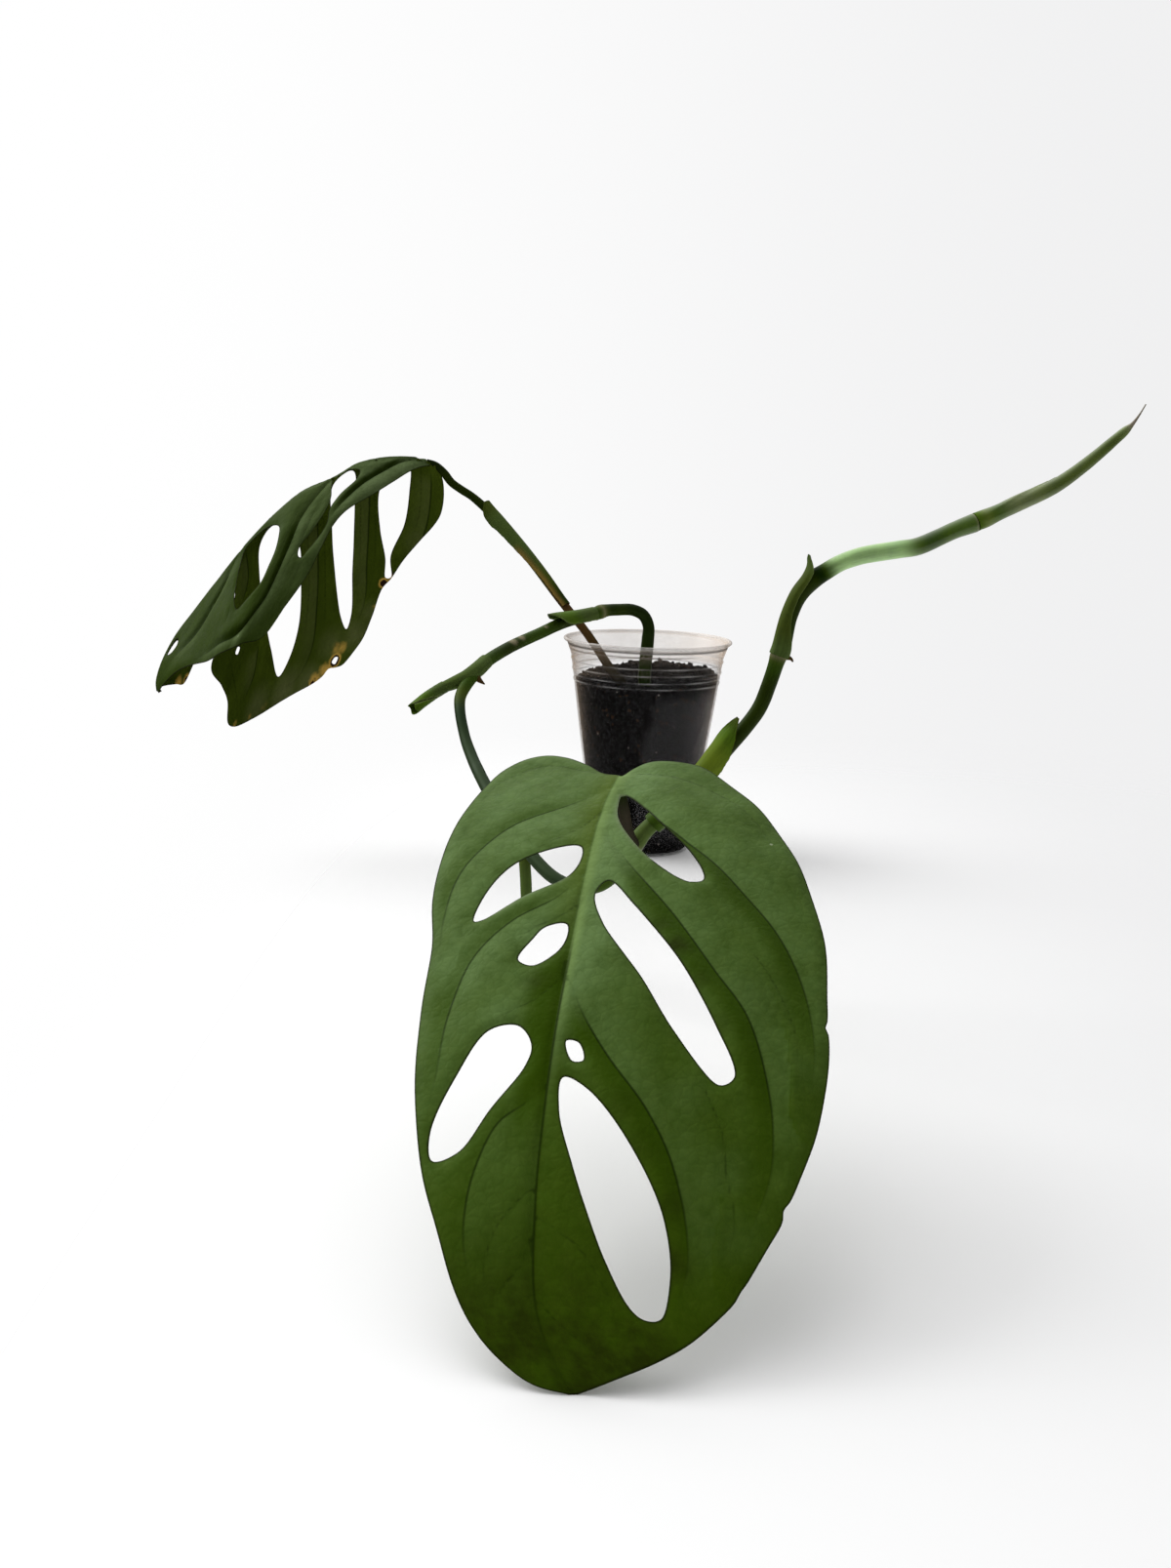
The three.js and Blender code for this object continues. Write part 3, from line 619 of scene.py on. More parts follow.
@dataclass(frozen=True)
class LeafFinish:
    """The skin of a split leaf: upper and under side, veins, margin, dry spots, painted shade and sheen."""

    name: str
    fresh: Colour = (0.048, 0.094, 0.003)
    deep: Colour = (0.025, 0.053, 0.001)
    # Painted shade: the blade's colour on the shaded side of a vein and beside the midrib.
    shade: Colour = (0.031, 0.066, 0.001)
    # Painted sheen: pale blue-green colour that stands in for the reflection of the light on the blade.
    painted_sheen: Colour = (0.128, 0.212, 0.072)
    # Yellow-green: the small mottling, and the painted tone of the midrib's side turned from the light.
    yellow_mottle_and_unlit_tone: Colour = (0.085, 0.128, 0.010)
    rib: Colour = (0.185, 0.285, 0.085)
    under: Colour = (0.055, 0.078, 0.006)
    under_deep: Colour = (0.030, 0.044, 0.003)
    # Painted sheen on the under side.
    under_sheen: Colour = (0.120, 0.150, 0.060)
    vein_line: Colour = (0.008, 0.017, 0.001)
    # Dark colour of the smudges, of the spots of painted shade and of the painted shade of the tip.
    smudge: Colour = (0.018, 0.026, 0.002)
    # Thin dark line along the margin, partly the edge's own colour and partly painted shade of the edge.
    margin: Colour = (0.009, 0.010, 0.003)
    # Painted highlight along the rims of some holes.
    rim: Colour = (0.170, 0.230, 0.110)
    dot: Colour = (0.30, 0.36, 0.22)
    gloss: Colour = (0.50, 1.0, 0.20)
    dry: Colour = (0.300, 0.200, 0.030)
    burnt: Colour = (0.034, 0.016, 0.008)
    roughness: float = 0.42
    specular: float = 0.03
    vein_width: float = 0.6
    # How much painted sheen lies on the pale side of a vein.
    vein_sheen: float = 0.22
    shade_reach: tuple[float, float] = (2.0, 9.0)
    lit_reach: tuple[float, float] = (0.5, 15.0)
    strip_reach: tuple[float, float] = (-0.012, -0.005)
    margin_width: float = 0.8
    dot_place: tuple[float, float, float] = (0.044, 0.056, 0.0)
    dot_radius: float = 0.0007

    def beside(self, sheet: NodeSheet) -> tuple[Socket, Socket, Socket]:
        """Measure where a point lies beside the veins.

        Args:
            sheet: The material's nodes.

        Returns:
            The share of painted shade on the shaded side of a vein or of the midrib, the share of painted
            sheen on a vein's pale side, and 1 on the left half.
        """
        gap, side, power = (sheet.number(name) for name in ("side_gap", "side_way", "side_power"))
        near = sheet.remap(gap, *self.shade_reach, 1.0, 0.0)
        shaded = sheet.times(near, sheet.maths("GREATER_THAN", side, 0.0), power)
        lit = sheet.remap(gap, *self.lit_reach, 1.0, 0.0)
        beyond = sheet.times(lit, sheet.maths("LESS_THAN", side, 0.0), power)
        across = sheet.split(sheet.named("leaf_place")["Vector"])[1]
        left = sheet.maths("LESS_THAN", across, 0.0)
        strip = sheet.times(sheet.remap(across, *self.strip_reach), left, sheet.number("strip"))
        return sheet.maths("MAXIMUM", shaded, strip), beyond, left

    def blade(self, sheet: NodeSheet) -> Socket:
        """Return the colour of the upper side between the veins."""
        place = sheet.named("leaf_place")["Vector"]
        shaded, beyond, left = self.beside(sheet)
        broad = sheet.effect(Effect.MOTTLE, place, BROAD, Contrast=1.1)["Mask"]
        patchy = sheet.effect(Effect.MOTTLE, place, PATCHY, Contrast=1.2)["Mask"]
        tiny = sheet.effect(Effect.MOTTLE, place, TINY, Contrast=1.3)["Mask"]
        net = sheet.effect(Effect.VEIN_NET, place, NET)["Mask"]
        both = sheet.times_plus(broad, 0.5, sheet.times(patchy, 0.5))
        top = sheet.blend(both, self.deep, self.fresh)
        # Painted shade: the midrib's left side near the base, turned from the light, gets yellow-green and
        # less sheen.
        unlit_side = sheet.number("unlit_rib_side")
        top = sheet.blend(sheet.times(unlit_side, 0.75), top, self.yellow_mottle_and_unlit_tone)
        # Painted sheen: pale blue-green where the blade faces the light and on the pale side of each vein.
        right_sheen = sheet.number("painted_sheen")
        more = sheet.maths("SUBTRACT", sheet.number("painted_sheen_left"), right_sheen)
        share = sheet.times_plus(beyond, self.vein_sheen, sheet.times_plus(left, more, right_sheen))
        share = sheet.times(share, sheet.times_plus(shaded, -0.85, 1.0), sheet.times_plus(unlit_side, -0.75, 1.0))
        sheen_amount = sheet.times_plus(patchy, 0.8, sheet.times_plus(tiny, 0.45, 0.35))
        top = sheet.blend(sheet.maths("MULTIPLY", share, sheen_amount, clamp=True), top, self.painted_sheen)
        top = sheet.blend(sheet.times(tiny, 0.22), top, self.yellow_mottle_and_unlit_tone)
        top = sheet.blend(sheet.times(net, 0.13), top, self.deep)
        # Painted shade on the shaded side of the veins and in the strip beside the midrib.
        top = sheet.blend(sheet.times(shaded, sheet.times_plus(tiny, -0.35, 1.0)), top, self.shade)
        # Smudges, spots of painted shade, and the painted shade of the tip.
        smudge_and_shade_share = sheet.times(sheet.number("smudge"), sheet.times(patchy, 1.6))
        return sheet.blend(sheet.maths("MINIMUM", smudge_and_shade_share, 0.85), top, self.smudge)

    def below(self, sheet: NodeSheet, small: Socket, net: Socket) -> Socket:
        """Return the colour of the under side between the veins.

        Args:
            sheet: The material's nodes.
            small: The mask of the small mottling.
            net: The mask of the fine veins.

        Returns:
            The colour.
        """
        place = sheet.named("leaf_place")["Vector"]
        broad = sheet.effect(Effect.MOTTLE, place, BROAD, Contrast=1.1)["Mask"]
        shaded, beyond, _ = self.beside(sheet)
        skin = sheet.blend(broad, self.under_deep, self.under)
        skin = sheet.blend(sheet.times(net, 0.25), skin, self.under_deep)
        # Painted sheen on the under side.
        sheen_amount = sheet.times_plus(beyond, self.vein_sheen, sheet.number("painted_sheen_left"))
        sheen_amount = sheet.times(sheen_amount, sheet.times_plus(small, 0.6, 0.6))
        skin = sheet.blend(sheet.maths("MINIMUM", sheen_amount, 0.9), skin, self.under_sheen)
        # Painted shade on the shaded side of the veins.
        return sheet.blend(sheet.times(shaded, 0.6), skin, self.under_deep)

    def marks(self, sheet: NodeSheet, skin: Socket) -> Socket:
        """Return the skin colour with the veins, the midrib, the margin and a pale dot drawn in.

        Args:
            sheet: The material's nodes.
            skin: The colour so far.

        Returns:
            The new colour.
        """
        rib = sheet.remap(sheet.number("rib_gap"), 0.0, 1.0, 1.0, 0.0)
        skin = sheet.blend(sheet.times(rib, sheet.number("rib_tone")), skin, self.rib)
        line = sheet.remap(sheet.number("vein_gap"), 0.0, self.vein_width, 1.0, 0.0)
        skin = sheet.blend(sheet.times(line, sheet.number("vein_power")), skin, self.vein_line)
        # The dark margin line: partly the edge's own colour, partly painted shade of the edge.
        edge = sheet.remap(sheet.number("edge_gap"), 0.0, self.margin_width, 0.95, 0.0)
        skin = sheet.blend(edge, skin, self.margin)
        # Painted highlight along the rims of some holes.
        skin = sheet.blend(sheet.number("hole_rim_highlight"), skin, self.rim)
        away = sheet.vector("DISTANCE", sheet.named("leaf_place")["Vector"], self.dot_place)["Value"]
        dot = sheet.remap(away, self.dot_radius * 0.6, self.dot_radius, 0.8, 0.0)
        return sheet.blend(dot, skin, self.dot)

    def build(self) -> Material:
        """Return the material."""
        material, sheet, shader = start_material(self.name)
        place = sheet.named("leaf_place")["Vector"]
        under, dry = sheet.number("under_side"), sheet.number("dry_spot")
        small = sheet.effect(Effect.MOTTLE, place, SMALL, Contrast=0.9)
        net = sheet.effect(Effect.VEIN_NET, place, NET)
        skin = sheet.blend(under, self.blade(sheet), self.below(sheet, small["Mask"], net["Mask"]))
        skin = self.marks(sheet, skin)
        ragged = sheet.times_plus(sheet.maths("SUBTRACT", small["Mask"], 0.5), 0.35, dry)
        skin = sheet.blend(sheet.remap(ragged, 0.22, 0.75, 0.0, 0.9), skin, self.dry)
        skin = sheet.blend(sheet.remap(ragged, 0.66, 0.86), skin, self.burnt)
        shine = sheet.remap(small["Height"], 0.3, 0.7, self.roughness - 0.05, self.roughness + 0.08)
        dull = sheet.times_plus(under, 0.16, shine)
        sheet.feed(shader.inputs["Base Color"], skin)
        sheet.feed(shader.inputs["Roughness"], sheet.maths("MULTIPLY_ADD", dry, 0.3, dull, clamp=True))
        sheet.feed(shader.inputs["Specular IOR Level"], self.specular)
        sheet.feed(shader.inputs["Specular Tint"], rgba(self.gloss))
        sheet.bump(shader, sheet.times_plus(net["Height"], 0.35, small["Height"]), 0.45, 0.32)
        return material


DARK_LEAF = LeafFinish(
    name="back leaf",
    fresh=(0.036, 0.062, 0.005), deep=(0.020, 0.037, 0.003), shade=(0.012, 0.023, 0.001),
    painted_sheen=(0.138, 0.190, 0.080), yellow_mottle_and_unlit_tone=(0.045, 0.070, 0.008), rib=(0.060, 0.090, 0.030),
    rim=(0.070, 0.085, 0.030), under=(0.080, 0.118, 0.010), under_deep=(0.043, 0.068, 0.005),
    under_sheen=(0.185, 0.205, 0.078), dry=(0.900, 0.560, 0.110), margin=(0.010, 0.009, 0.004),
    specular=0.015, vein_width=0.8, vein_sheen=0.3, shade_reach=(2.0, 6.0), dot_place=(0.096, 0.090, 0.0),
)


@dataclass(frozen=True)
class StemFinish:
    """The skin of a stem, whose tone along it comes with the mesh."""

    name: str
    scar: Colour = (0.32, 0.27, 0.17)
    streak: Colour = (0.012, 0.018, 0.005)
    bright: Colour = (1.35, 1.3, 1.1)
    gloss: Colour = (0.65, 1.0, 0.45)
    roughness: float = 0.40
    specular: float = 0.06
    streak_share: float = 0.25
    coat: float = 0.9
    coat_roughness: float = 0.28

    def build(self) -> Material:
        """Return the material."""
        material, sheet, shader = start_material(self.name)
        tone = sheet.named("tone")["Color"]
        streaks = sheet.effect(Effect.STREAKS, sheet.named("skin")["Vector"], 700.0, Stretch=0.04)
        patches = sheet.effect(Effect.MOTTLE, sheet.object_place(), 130.0, Contrast=1.2)
        skin = sheet.blend(sheet.times(streaks["Mask"], self.streak_share), tone, self.streak)
        bright = sheet.blend(1.0, tone, self.bright, "MULTIPLY")
        skin = sheet.blend(sheet.times(patches["Mask"], 0.5), skin, bright)
        ring = sheet.maths("MULTIPLY", sheet.number("ring"), 0.4, clamp=True)
        sheet.feed(shader.inputs["Base Color"], sheet.blend(ring, skin, self.scar))
        rough = sheet.remap(patches["Height"], 0.3, 0.7, self.roughness - 0.06, self.roughness + 0.1)
        sheet.feed(shader.inputs["Roughness"], rough)
        sheet.feed(shader.inputs["Specular IOR Level"], self.specular)
        sheet.feed(shader.inputs["Specular Tint"], rgba(self.gloss))
        sheet.feed(shader.inputs["Coat Weight"], sheet.times(sheet.number("glossy"), self.coat))
        sheet.feed(shader.inputs["Coat Roughness"], self.coat_roughness)
        sheet.bump(shader, sheet.times_plus(patches["Height"], 0.6, streaks["Height"]), 0.25, 0.2)
        return material


@dataclass(frozen=True)
class PlasticFinish:
    """Clear, slightly cloudy plastic with painted light. Each share is how opaque its mark makes the wall."""

    name: str = "clear plastic"
    clear: Colour = (0.04, 0.04, 0.04)
    # Beige where no soil lies behind the wall: it paints the warm light seen through the plastic.
    empty: Colour = (0.85, 0.62, 0.42)
    # A lighter grey, more opaque patch on the right front of the wall below the soil line.
    grey_patch: Colour = (0.33, 0.32, 0.33)
    # Painted highlight: the pale colour of the lip and the ring lines, also of the paler foot.
    bright: Colour = (0.95, 0.94, 0.92)
    # Painted shade: the dark lines under the lip.
    dark: Colour = (0.03, 0.03, 0.032)
    clear_share: float = 0.015
    empty_share: float = 0.155
    grey_patch_share: float = 0.022
    bright_share: float = 0.5
    dark_share: float = 0.8
    edge_share: float = 0.5
    fleck_share: float = 0.015
    roughness: float = 0.10
    ior: float = 1.6

    def build(self) -> Material:
        """Return the material."""
        material, sheet, shader = start_material(self.name)
        where = sheet.object_place()
        patch_mask, pale, empty, dark = (sheet.number(name) for name in ("grey_patch", "pale", "empty", "dark"))
        smudge = sheet.effect(Effect.MOTTLE, where, 55.0, Contrast=1.3)
        flecks = sheet.effect(Effect.SPECKS, where, 420.0, Amount=0.3, Size=0.2)["Mask"]
        # Painted reflection: the wall turns paler and more opaque where it is seen at a grazing angle.
        facing = sheet.add("ShaderNodeLayerWeight", {"Blend": 0.5}).outputs["Facing"]
        low_fade = sheet.remap(sheet.split(where)[2], 0.02, 0.08, 0.15, 1.0)
        steep = sheet.times(sheet.maths("POWER", facing, 2.9), low_fade)
        uneven = sheet.remap(smudge["Mask"], 0.0, 1.0, 0.7, 1.0)
        share = sheet.times_plus(steep, self.edge_share, self.clear_share)
        for mark, part in ((empty, self.empty_share), (patch_mask, self.grey_patch_share), (pale, self.bright_share)):
            share = sheet.times_plus(sheet.times(mark, uneven), part, share)
        share = sheet.times_plus(dark, self.dark_share, share)
        # Small flecks within the grey patch.
        patch_flecks = sheet.times(flecks, sheet.times(patch_mask, self.fleck_share))
        sheet.feed(shader.inputs["Alpha"], sheet.maths("ADD", share, patch_flecks, clamp=True))
        colour = sheet.blend(patch_mask, self.clear, self.grey_patch)
        colour = sheet.blend(sheet.maths("MAXIMUM", empty, steep, clamp=True), colour, self.empty)
        # Painted highlights on the lip and the ring lines, and the paler foot.
        colour = sheet.blend(pale, colour, self.bright)
        # Painted shade lines under the lip.
        sheet.feed(shader.inputs["Base Color"], sheet.blend(dark, colour, self.dark))
        rough = sheet.remap(smudge["Height"], 0.3, 0.7, self.roughness, self.roughness + 0.12)
        sheet.feed(shader.inputs["Roughness"], rough)
        sheet.feed(shader.inputs["IOR"], self.ior)
        sheet.bump(shader, smudge["Height"], 0.1, 0.3)
        return material


@dataclass(frozen=True)
class SoilFinish:
    """Dark, moist potting mix."""

    name: str = "potting soil"
    dark: Colour = (0.003, 0.0026, 0.0022)
    light: Colour = (0.014, 0.0135, 0.014)
    brown: Colour = (0.035, 0.018, 0.009)
    grit: Colour = (0.20, 0.18, 0.16)
    roughness: float = 0.9
    specular: float = 0.12
    woody_from: float = 0.97

    def build(self) -> Material:
        """Return the material."""
        material, sheet, shader = start_material(self.name)
        where = sheet.object_place()
        crumbs = sheet.add("ShaderNodeTexVoronoi", {"Vector": where, "Scale": 620.0}).outputs
        shade = sheet.add("ShaderNodeSeparateColor", {0: crumbs["Color"]}).outputs
        grit = sheet.effect(Effect.SPECKS, where, 520.0, Amount=0.02, Size=0.3)["Mask"]
        patches = sheet.effect(Effect.MOTTLE, where, 300.0, Contrast=1.0)["Height"]
        woody = sheet.maths("GREATER_THAN", shade[1], self.woody_from)
        skin = sheet.blend(sheet.maths("POWER", shade[0], 2.5), self.dark, self.light)
        skin = sheet.blend(sheet.times(woody, 0.8), skin, self.brown)
        sheet.feed(shader.inputs["Base Color"], sheet.blend(sheet.times(grit, 0.7), skin, self.grit))
        rough = sheet.remap(patches, 0.3, 0.7, self.roughness - 0.2, self.roughness + 0.08)
        sheet.feed(shader.inputs["Roughness"], rough)
        sheet.feed(shader.inputs["Specular IOR Level"], self.specular)
        height = sheet.maths("SUBTRACT", 1.0, crumbs["Distance"])
        sheet.bump(shader, sheet.maths("ADD", height, patches), 0.8, 0.7)
        return material


# Stems
class Tone(Enum):
    """The colours that a stem's skin takes along its length."""

    # Painted shade: the tone of stem parts that lie in shade.
    SHADED = (0.012, 0.022, 0.003)
    GREEN = (0.036, 0.070, 0.006)
    OLIVE = (0.060, 0.085, 0.012)
    DUSKY = (0.020, 0.034, 0.003)
    LEAFY = (0.072, 0.112, 0.026)
    OCHRE = (0.280, 0.175, 0.045)
    # Painted highlight: green raised pale where the light shines on the top of the arc.
    HIGHLIT_GREEN = (0.370, 0.600, 0.235)
    ROLLED = (0.096, 0.142, 0.020)
    GREY_GREEN = (0.026, 0.045, 0.020)
    BRIGHT = (0.070, 0.135, 0.008)
    YELLOW_GREEN = (0.118, 0.175, 0.014)
    BROWN = (0.070, 0.038, 0.012)
    # Dark brown-grey: soil stain on the back stem; dust and painted shade on the front stalk behind the leaf.
    STAINED_AND_SHADED = (0.030, 0.026, 0.018)
    PAPERY = (0.300, 0.260, 0.200)
    PALE = (0.180, 0.230, 0.080)


def stem_tree() -> Tree:
    """Build the geometry nodes that sweep a ridged skin along a stem's route."""
    inputs = {
        "Geometry": ("Geometry", None),
        "Sides": ("Int", 28),
        "Ripple": ("Float", 0.0002),
        "Seam": ("Float", 0.0),
        "Twist": ("Float", 0.0),
        "Skin": ("Material", None),
    }
    tree, sheet, source = start_group("stem skin", "GeometryNodeTree", inputs, {"Geometry": "Geometry"})
    run = sheet.add("GeometryNodeSplineParameter").outputs["Length"]
    route = sheet.stored(source["Geometry"], "along", run, "FLOAT")
    circle = {"Resolution": source["Sides"], "Radius": 1.0}
    ring = sheet.add("GeometryNodeCurvePrimitiveCircle", circle).outputs[0]
    profile = sheet.stored(ring, "around", sheet.add("GeometryNodeInputPosition").outputs[0])
    swept = {"Curve": route, "Profile Curve": profile, "Fill Caps": True}
    sweep = sheet.add("GeometryNodeCurveToMesh", swept)
    if "Scale" in sweep.inputs:
        sheet.feed(sweep.inputs["Scale"], sheet.add("GeometryNodeInputRadius").outputs[0])
    along, around = (
        sheet.add("GeometryNodeInputNamedAttribute", {"Name": name}, data_type=kind).outputs[0]
        for name, kind in (("along", "FLOAT"), ("around", "FLOAT_VECTOR"))
    )
    parts = sheet.split(around)
    width = sheet.split(sheet.scaled(around, 0.003))
    skin = sheet.add("ShaderNodeCombineXYZ", {0: width[0], 1: width[1], 2: along}).outputs[0]
    angle = sheet.maths("DIVIDE", sheet.maths("ARCTAN2", parts[1], parts[0]), 2.0 * math.pi)
    turned = sheet.times_plus(along, source["Twist"], angle)
    step = sheet.times(sheet.maths("FRACT", turned), source["Seam"])
    ridges = sheet.noise(sheet.vector("MULTIPLY", skin, (1.0, 1.0, 0.12))[0], 700.0, 2.0)[0]
    lumps = sheet.noise(skin, 110.0, 2.0)[0]
    wave = sheet.maths("ADD", ridges, sheet.times(lumps, 2.0))
    centred = sheet.maths("SUBTRACT", wave, 1.5)
    rise = sheet.times_plus(centred, source["Ripple"], sheet.maths("SUBTRACT", step, source["Seam"]))
    offset = sheet.scaled(sheet.add("GeometryNodeInputNormal").outputs[0], rise)
    moved = sheet.add("GeometryNodeSetPosition", {"Geometry": sweep.outputs[0], "Offset": offset}).outputs[0]
    marked = sheet.stored(moved, "skin", skin)
    soft = sheet.add("GeometryNodeSetShadeSmooth", {"Geometry": marked, "Shade Smooth": True}).outputs[0]
    sheet.put_out(soft, source["Skin"])
    return tree


def apply_nodes(carrier: Piece, tree: Tree, values: dict, name: str) -> Piece:
    """Run a geometry node tree on an object and keep the result as a plain mesh.

    Args:
        carrier: The object that the tree starts from. It is removed.
        tree: The geometry node tree.
        values: What each named input gets.
        name: The name of the result.

    Returns:
        A mesh object at the origin.
    """
    modifier = carrier.modifiers.new("nodes", "NODES")
    modifier.node_group = tree
    for item in tree.interface.items_tree:
        if item.item_type == "SOCKET" and item.in_out == "INPUT" and item.name in values:
            modifier[item.identifier] = values[item.name]
    carrier.update_tag()
    bpy.context.view_layer.update()
    evaluated = carrier.evaluated_get(bpy.context.evaluated_depsgraph_get())
    mesh = bpy.data.meshes.new_from_object(evaluated)
    mesh.name = name
    old = carrier.data
    bpy.data.objects.remove(carrier)
    (bpy.data.curves if isinstance(old, bpy.types.Curve) else bpy.data.meshes).remove(old)
    return linked(name, mesh)


@dataclass
class Stem:
    """A round stem, swept along its route by geometry nodes.

    Each station is x, y, z, the radius and the tone there. A ring is a node scar: the station's number and
    its half width in millimetres. A scar is a pale spot: its place x, y, z and its size.
    """

    name: str
    slot: str
    nodes: tuple[str, ...]
    stations: list[tuple]
    rings: tuple[tuple[int, float], ...] = ()
    sides: int = 32
    step: float = 1.3
    ripple: float = 0.12
    seam: float = 0.0
    twist: float = 0.0
    scars: Points = field(default_factory=list)
    glossy_from: int | None = None
    thinnest: float = 0.15
    gloss_fade: float = 6.0

    def away(self, places: Array, station: int) -> Array:
        """Return how far places lie from a station."""
        return np.linalg.norm(places - np.array(self.stations[station][:3], float), axis=1)

    def route(self) -> Array:
        """Return the sampled places, each with its radius and its tone."""
        path = SmoothRoute([(*row[:4], *row[4].value) for row in self.stations]).sampled(self.step)
        path[:, 3] = np.maximum(path[:, 3], self.thinnest)
        path[:, 4:] = np.clip(path[:, 4:], 0.0, 1.0)
        return path

    def build(self, tree: Tree, finish: Material) -> None:
        """Make the stem.

        Args:
            tree: The geometry nodes that sweep the skin.
            finish: The material.
        """
        path = self.route()
        curve = bpy.data.curves.new(self.name, "CURVE")
        curve.dimensions = "3D"
        spline = curve.splines.new("POLY")
        spline.points.add(len(path) - 1)
        for point, (x, y, z, radius) in zip(spline.points, path[:, :4]):
            point.co = (x * MM, y * MM, z * MM, 1.0)
            point.radius = radius * MM
        values = {
            "Sides": self.sides,
            "Ripple": self.ripple * MM,
            "Seam": self.seam * MM,
            "Twist": self.twist,
            "Skin": finish,
        }
        piece = apply_nodes(linked(self.name + "_route", curve), tree, values, self.name)
        self.paint(piece.data, path)
        keep_piece(piece, self.slot, *self.nodes)

    def paint(self, mesh: bpy.types.Mesh, path: Array) -> None:
        """Store the tone, the rings, the scars and the gloss on the swept mesh, by the length along the stem.

        Args:
            mesh: The swept mesh.
            path: The sampled places with radius and tone.
        """
        along = np.zeros(len(mesh.vertices), np.float32)
        mesh.attributes["along"].data.foreach_get("value", along)
        run = run_lengths(path[:, :3]) * MM
        tones = [np.interp(along, run, path[:, 4 + k]) for k in range(3)]
        store(mesh, "tone", np.column_stack([*tones, np.ones(len(along))]))
        marks = np.zeros(len(path))
        for station, width in self.rings:
            marks = np.maximum(marks, bell(self.away(path[:, :3], station), width))
        ring = np.interp(along, run, marks)
        places = np.empty(len(along) * 3)
        mesh.vertices.foreach_get("co", places)
        places = places.reshape(-1, 3) / MM
        for x, y, z, size in self.scars:
            gap = np.linalg.norm(places - np.array((x, y, z)), axis=1)
            ring = np.maximum(ring, 1.8 * np.exp(-((gap / size) ** 4)))
        if self.glossy_from is not None:
            first = run[self.away(path[:, :3], self.glossy_from).argmin()]
            store(mesh, "glossy", smooth((along - first) / (self.gloss_fade * MM)))
        store(mesh, "ring", ring)


def toned(tone: Tone, *stations: tuple[float, ...]) -> list[tuple]:
    """Return stations that share a tone."""
    return [(*station, tone) for station in stations]


VINE = Stem(
    "vine_stem", "vine", ("main_vine",),
    [
        *toned(
            Tone.SHADED, (4, -22, 64, 3.6), (0, -26, 84, 3.7), (-2, -29, 104, 3.6), (-1, -29, 124, 3.5),
            (-1, -30, 132, 3.2), (-4, -31, 138, 3.2), (-10, -34, 141, 3.2),
        ),
        *toned(Tone.DUSKY, (-18, -40, 141.5, 3.2), (-24, -45, 141.5, 3.3)),
        (-28, -49, 140.8, 3.9, Tone.OLIVE),
        (-31, -52, 139.8, 3.3, Tone.GREEN),
        (-46, -69, 137, 3.1, Tone.DUSKY),
        (-61, -88, 131.6, 3, Tone.GREEN),
        (-75, -109, 126.5, 3.1, Tone.DUSKY),
        *toned(Tone.GREEN, (-84, -125, 121.8, 3.2), (-89, -136, 117.2, 3.2), (-93, -144, 112, 3)),
        (-95.2, -150, 107, 2.8, Tone.OLIVE),
        *toned(
            Tone.GREY_GREEN, (-94.6, -157, 101, 2.6), (-91.5, -167, 91, 2.6), (-87, -179, 83, 2.8),
            (-81.3, -194, 76, 2.9), (-71, -217, 65, 2.9), (-60, -236, 55, 2.9), (-46, -255, 45.5, 2.9),
            (-36, -262, 43, 3),
        ),
        *toned(Tone.GREEN, (-26, -268, 45.5, 3), (-18, -274, 54, 3.2)),
        *toned(Tone.LEAFY, (-12, -279, 66, 4), (-7, -279, 73, 3.4)),
        *toned(Tone.GREEN, (4, -279, 84, 3.3), (14, -279, 95, 3.2)),
        *toned(Tone.DUSKY, (23, -279, 106, 3.2), (37, -279, 125, 3.1), (41, -279, 136, 3.1)),
        (43.3, -279, 144, 3.2, Tone.GREEN),
        (44.2, -279, 147.5, 3.6, Tone.OLIVE),
        (45.5, -279, 151, 3.5, Tone.GREEN),
        *toned(Tone.DUSKY, (48, -279, 164, 3.1), (51.5, -279, 172.5, 3.2), (56, -279, 178.5, 3.8)),
        (61.5, -279, 182.5, 3.5, Tone.GREEN),
        # Painted highlight along the top of the arc.
        *toned(Tone.HIGHLIT_GREEN, (67, -279, 186, 3.4), (75, -278, 189, 3.5), (91, -275, 192, 3.6)),
        *toned(Tone.BRIGHT, (99, -274, 193.5, 3.6), (114, -272, 200.5, 3.5), (122, -270, 203.5, 3.9)),
    ],
    rings=((9, 1.2), (28, 1.5), (36, 1.1), (47, 0.7)),
    scars=[
        (-68, -100.5, 131.8, 2.1), (-72, -106.5, 130.2, 2.5), (-56, -84, 135.6, 1.0),
        (-95.5, -144.5, 111.6, 1.3),
    ],
    glossy_from=41,
)
VINE_SPUR = Stem(
    "vine_spur", "vine", (),
    [
        (-89.0, -138, 116.6, 2.2, Tone.OLIVE),
        *toned(Tone.BROWN, (-86.8, -139, 114.2, 1.4), (-84.0, -140, 112.3, 0.3)),
    ],
    sides=12, step=0.5, ripple=0.05,
)
VINE_NUB = Stem(
    "vine_nub", "vine", (),
    [
        (46, -279, 147.5, 1.6, Tone.OLIVE),
        *toned(Tone.BROWN, (49.3, -279.5, 146.6, 0.7), (50.2, -279.5, 145.4, 0.3)),
    ],
    sides=12, step=0.5, ripple=0.05,
)
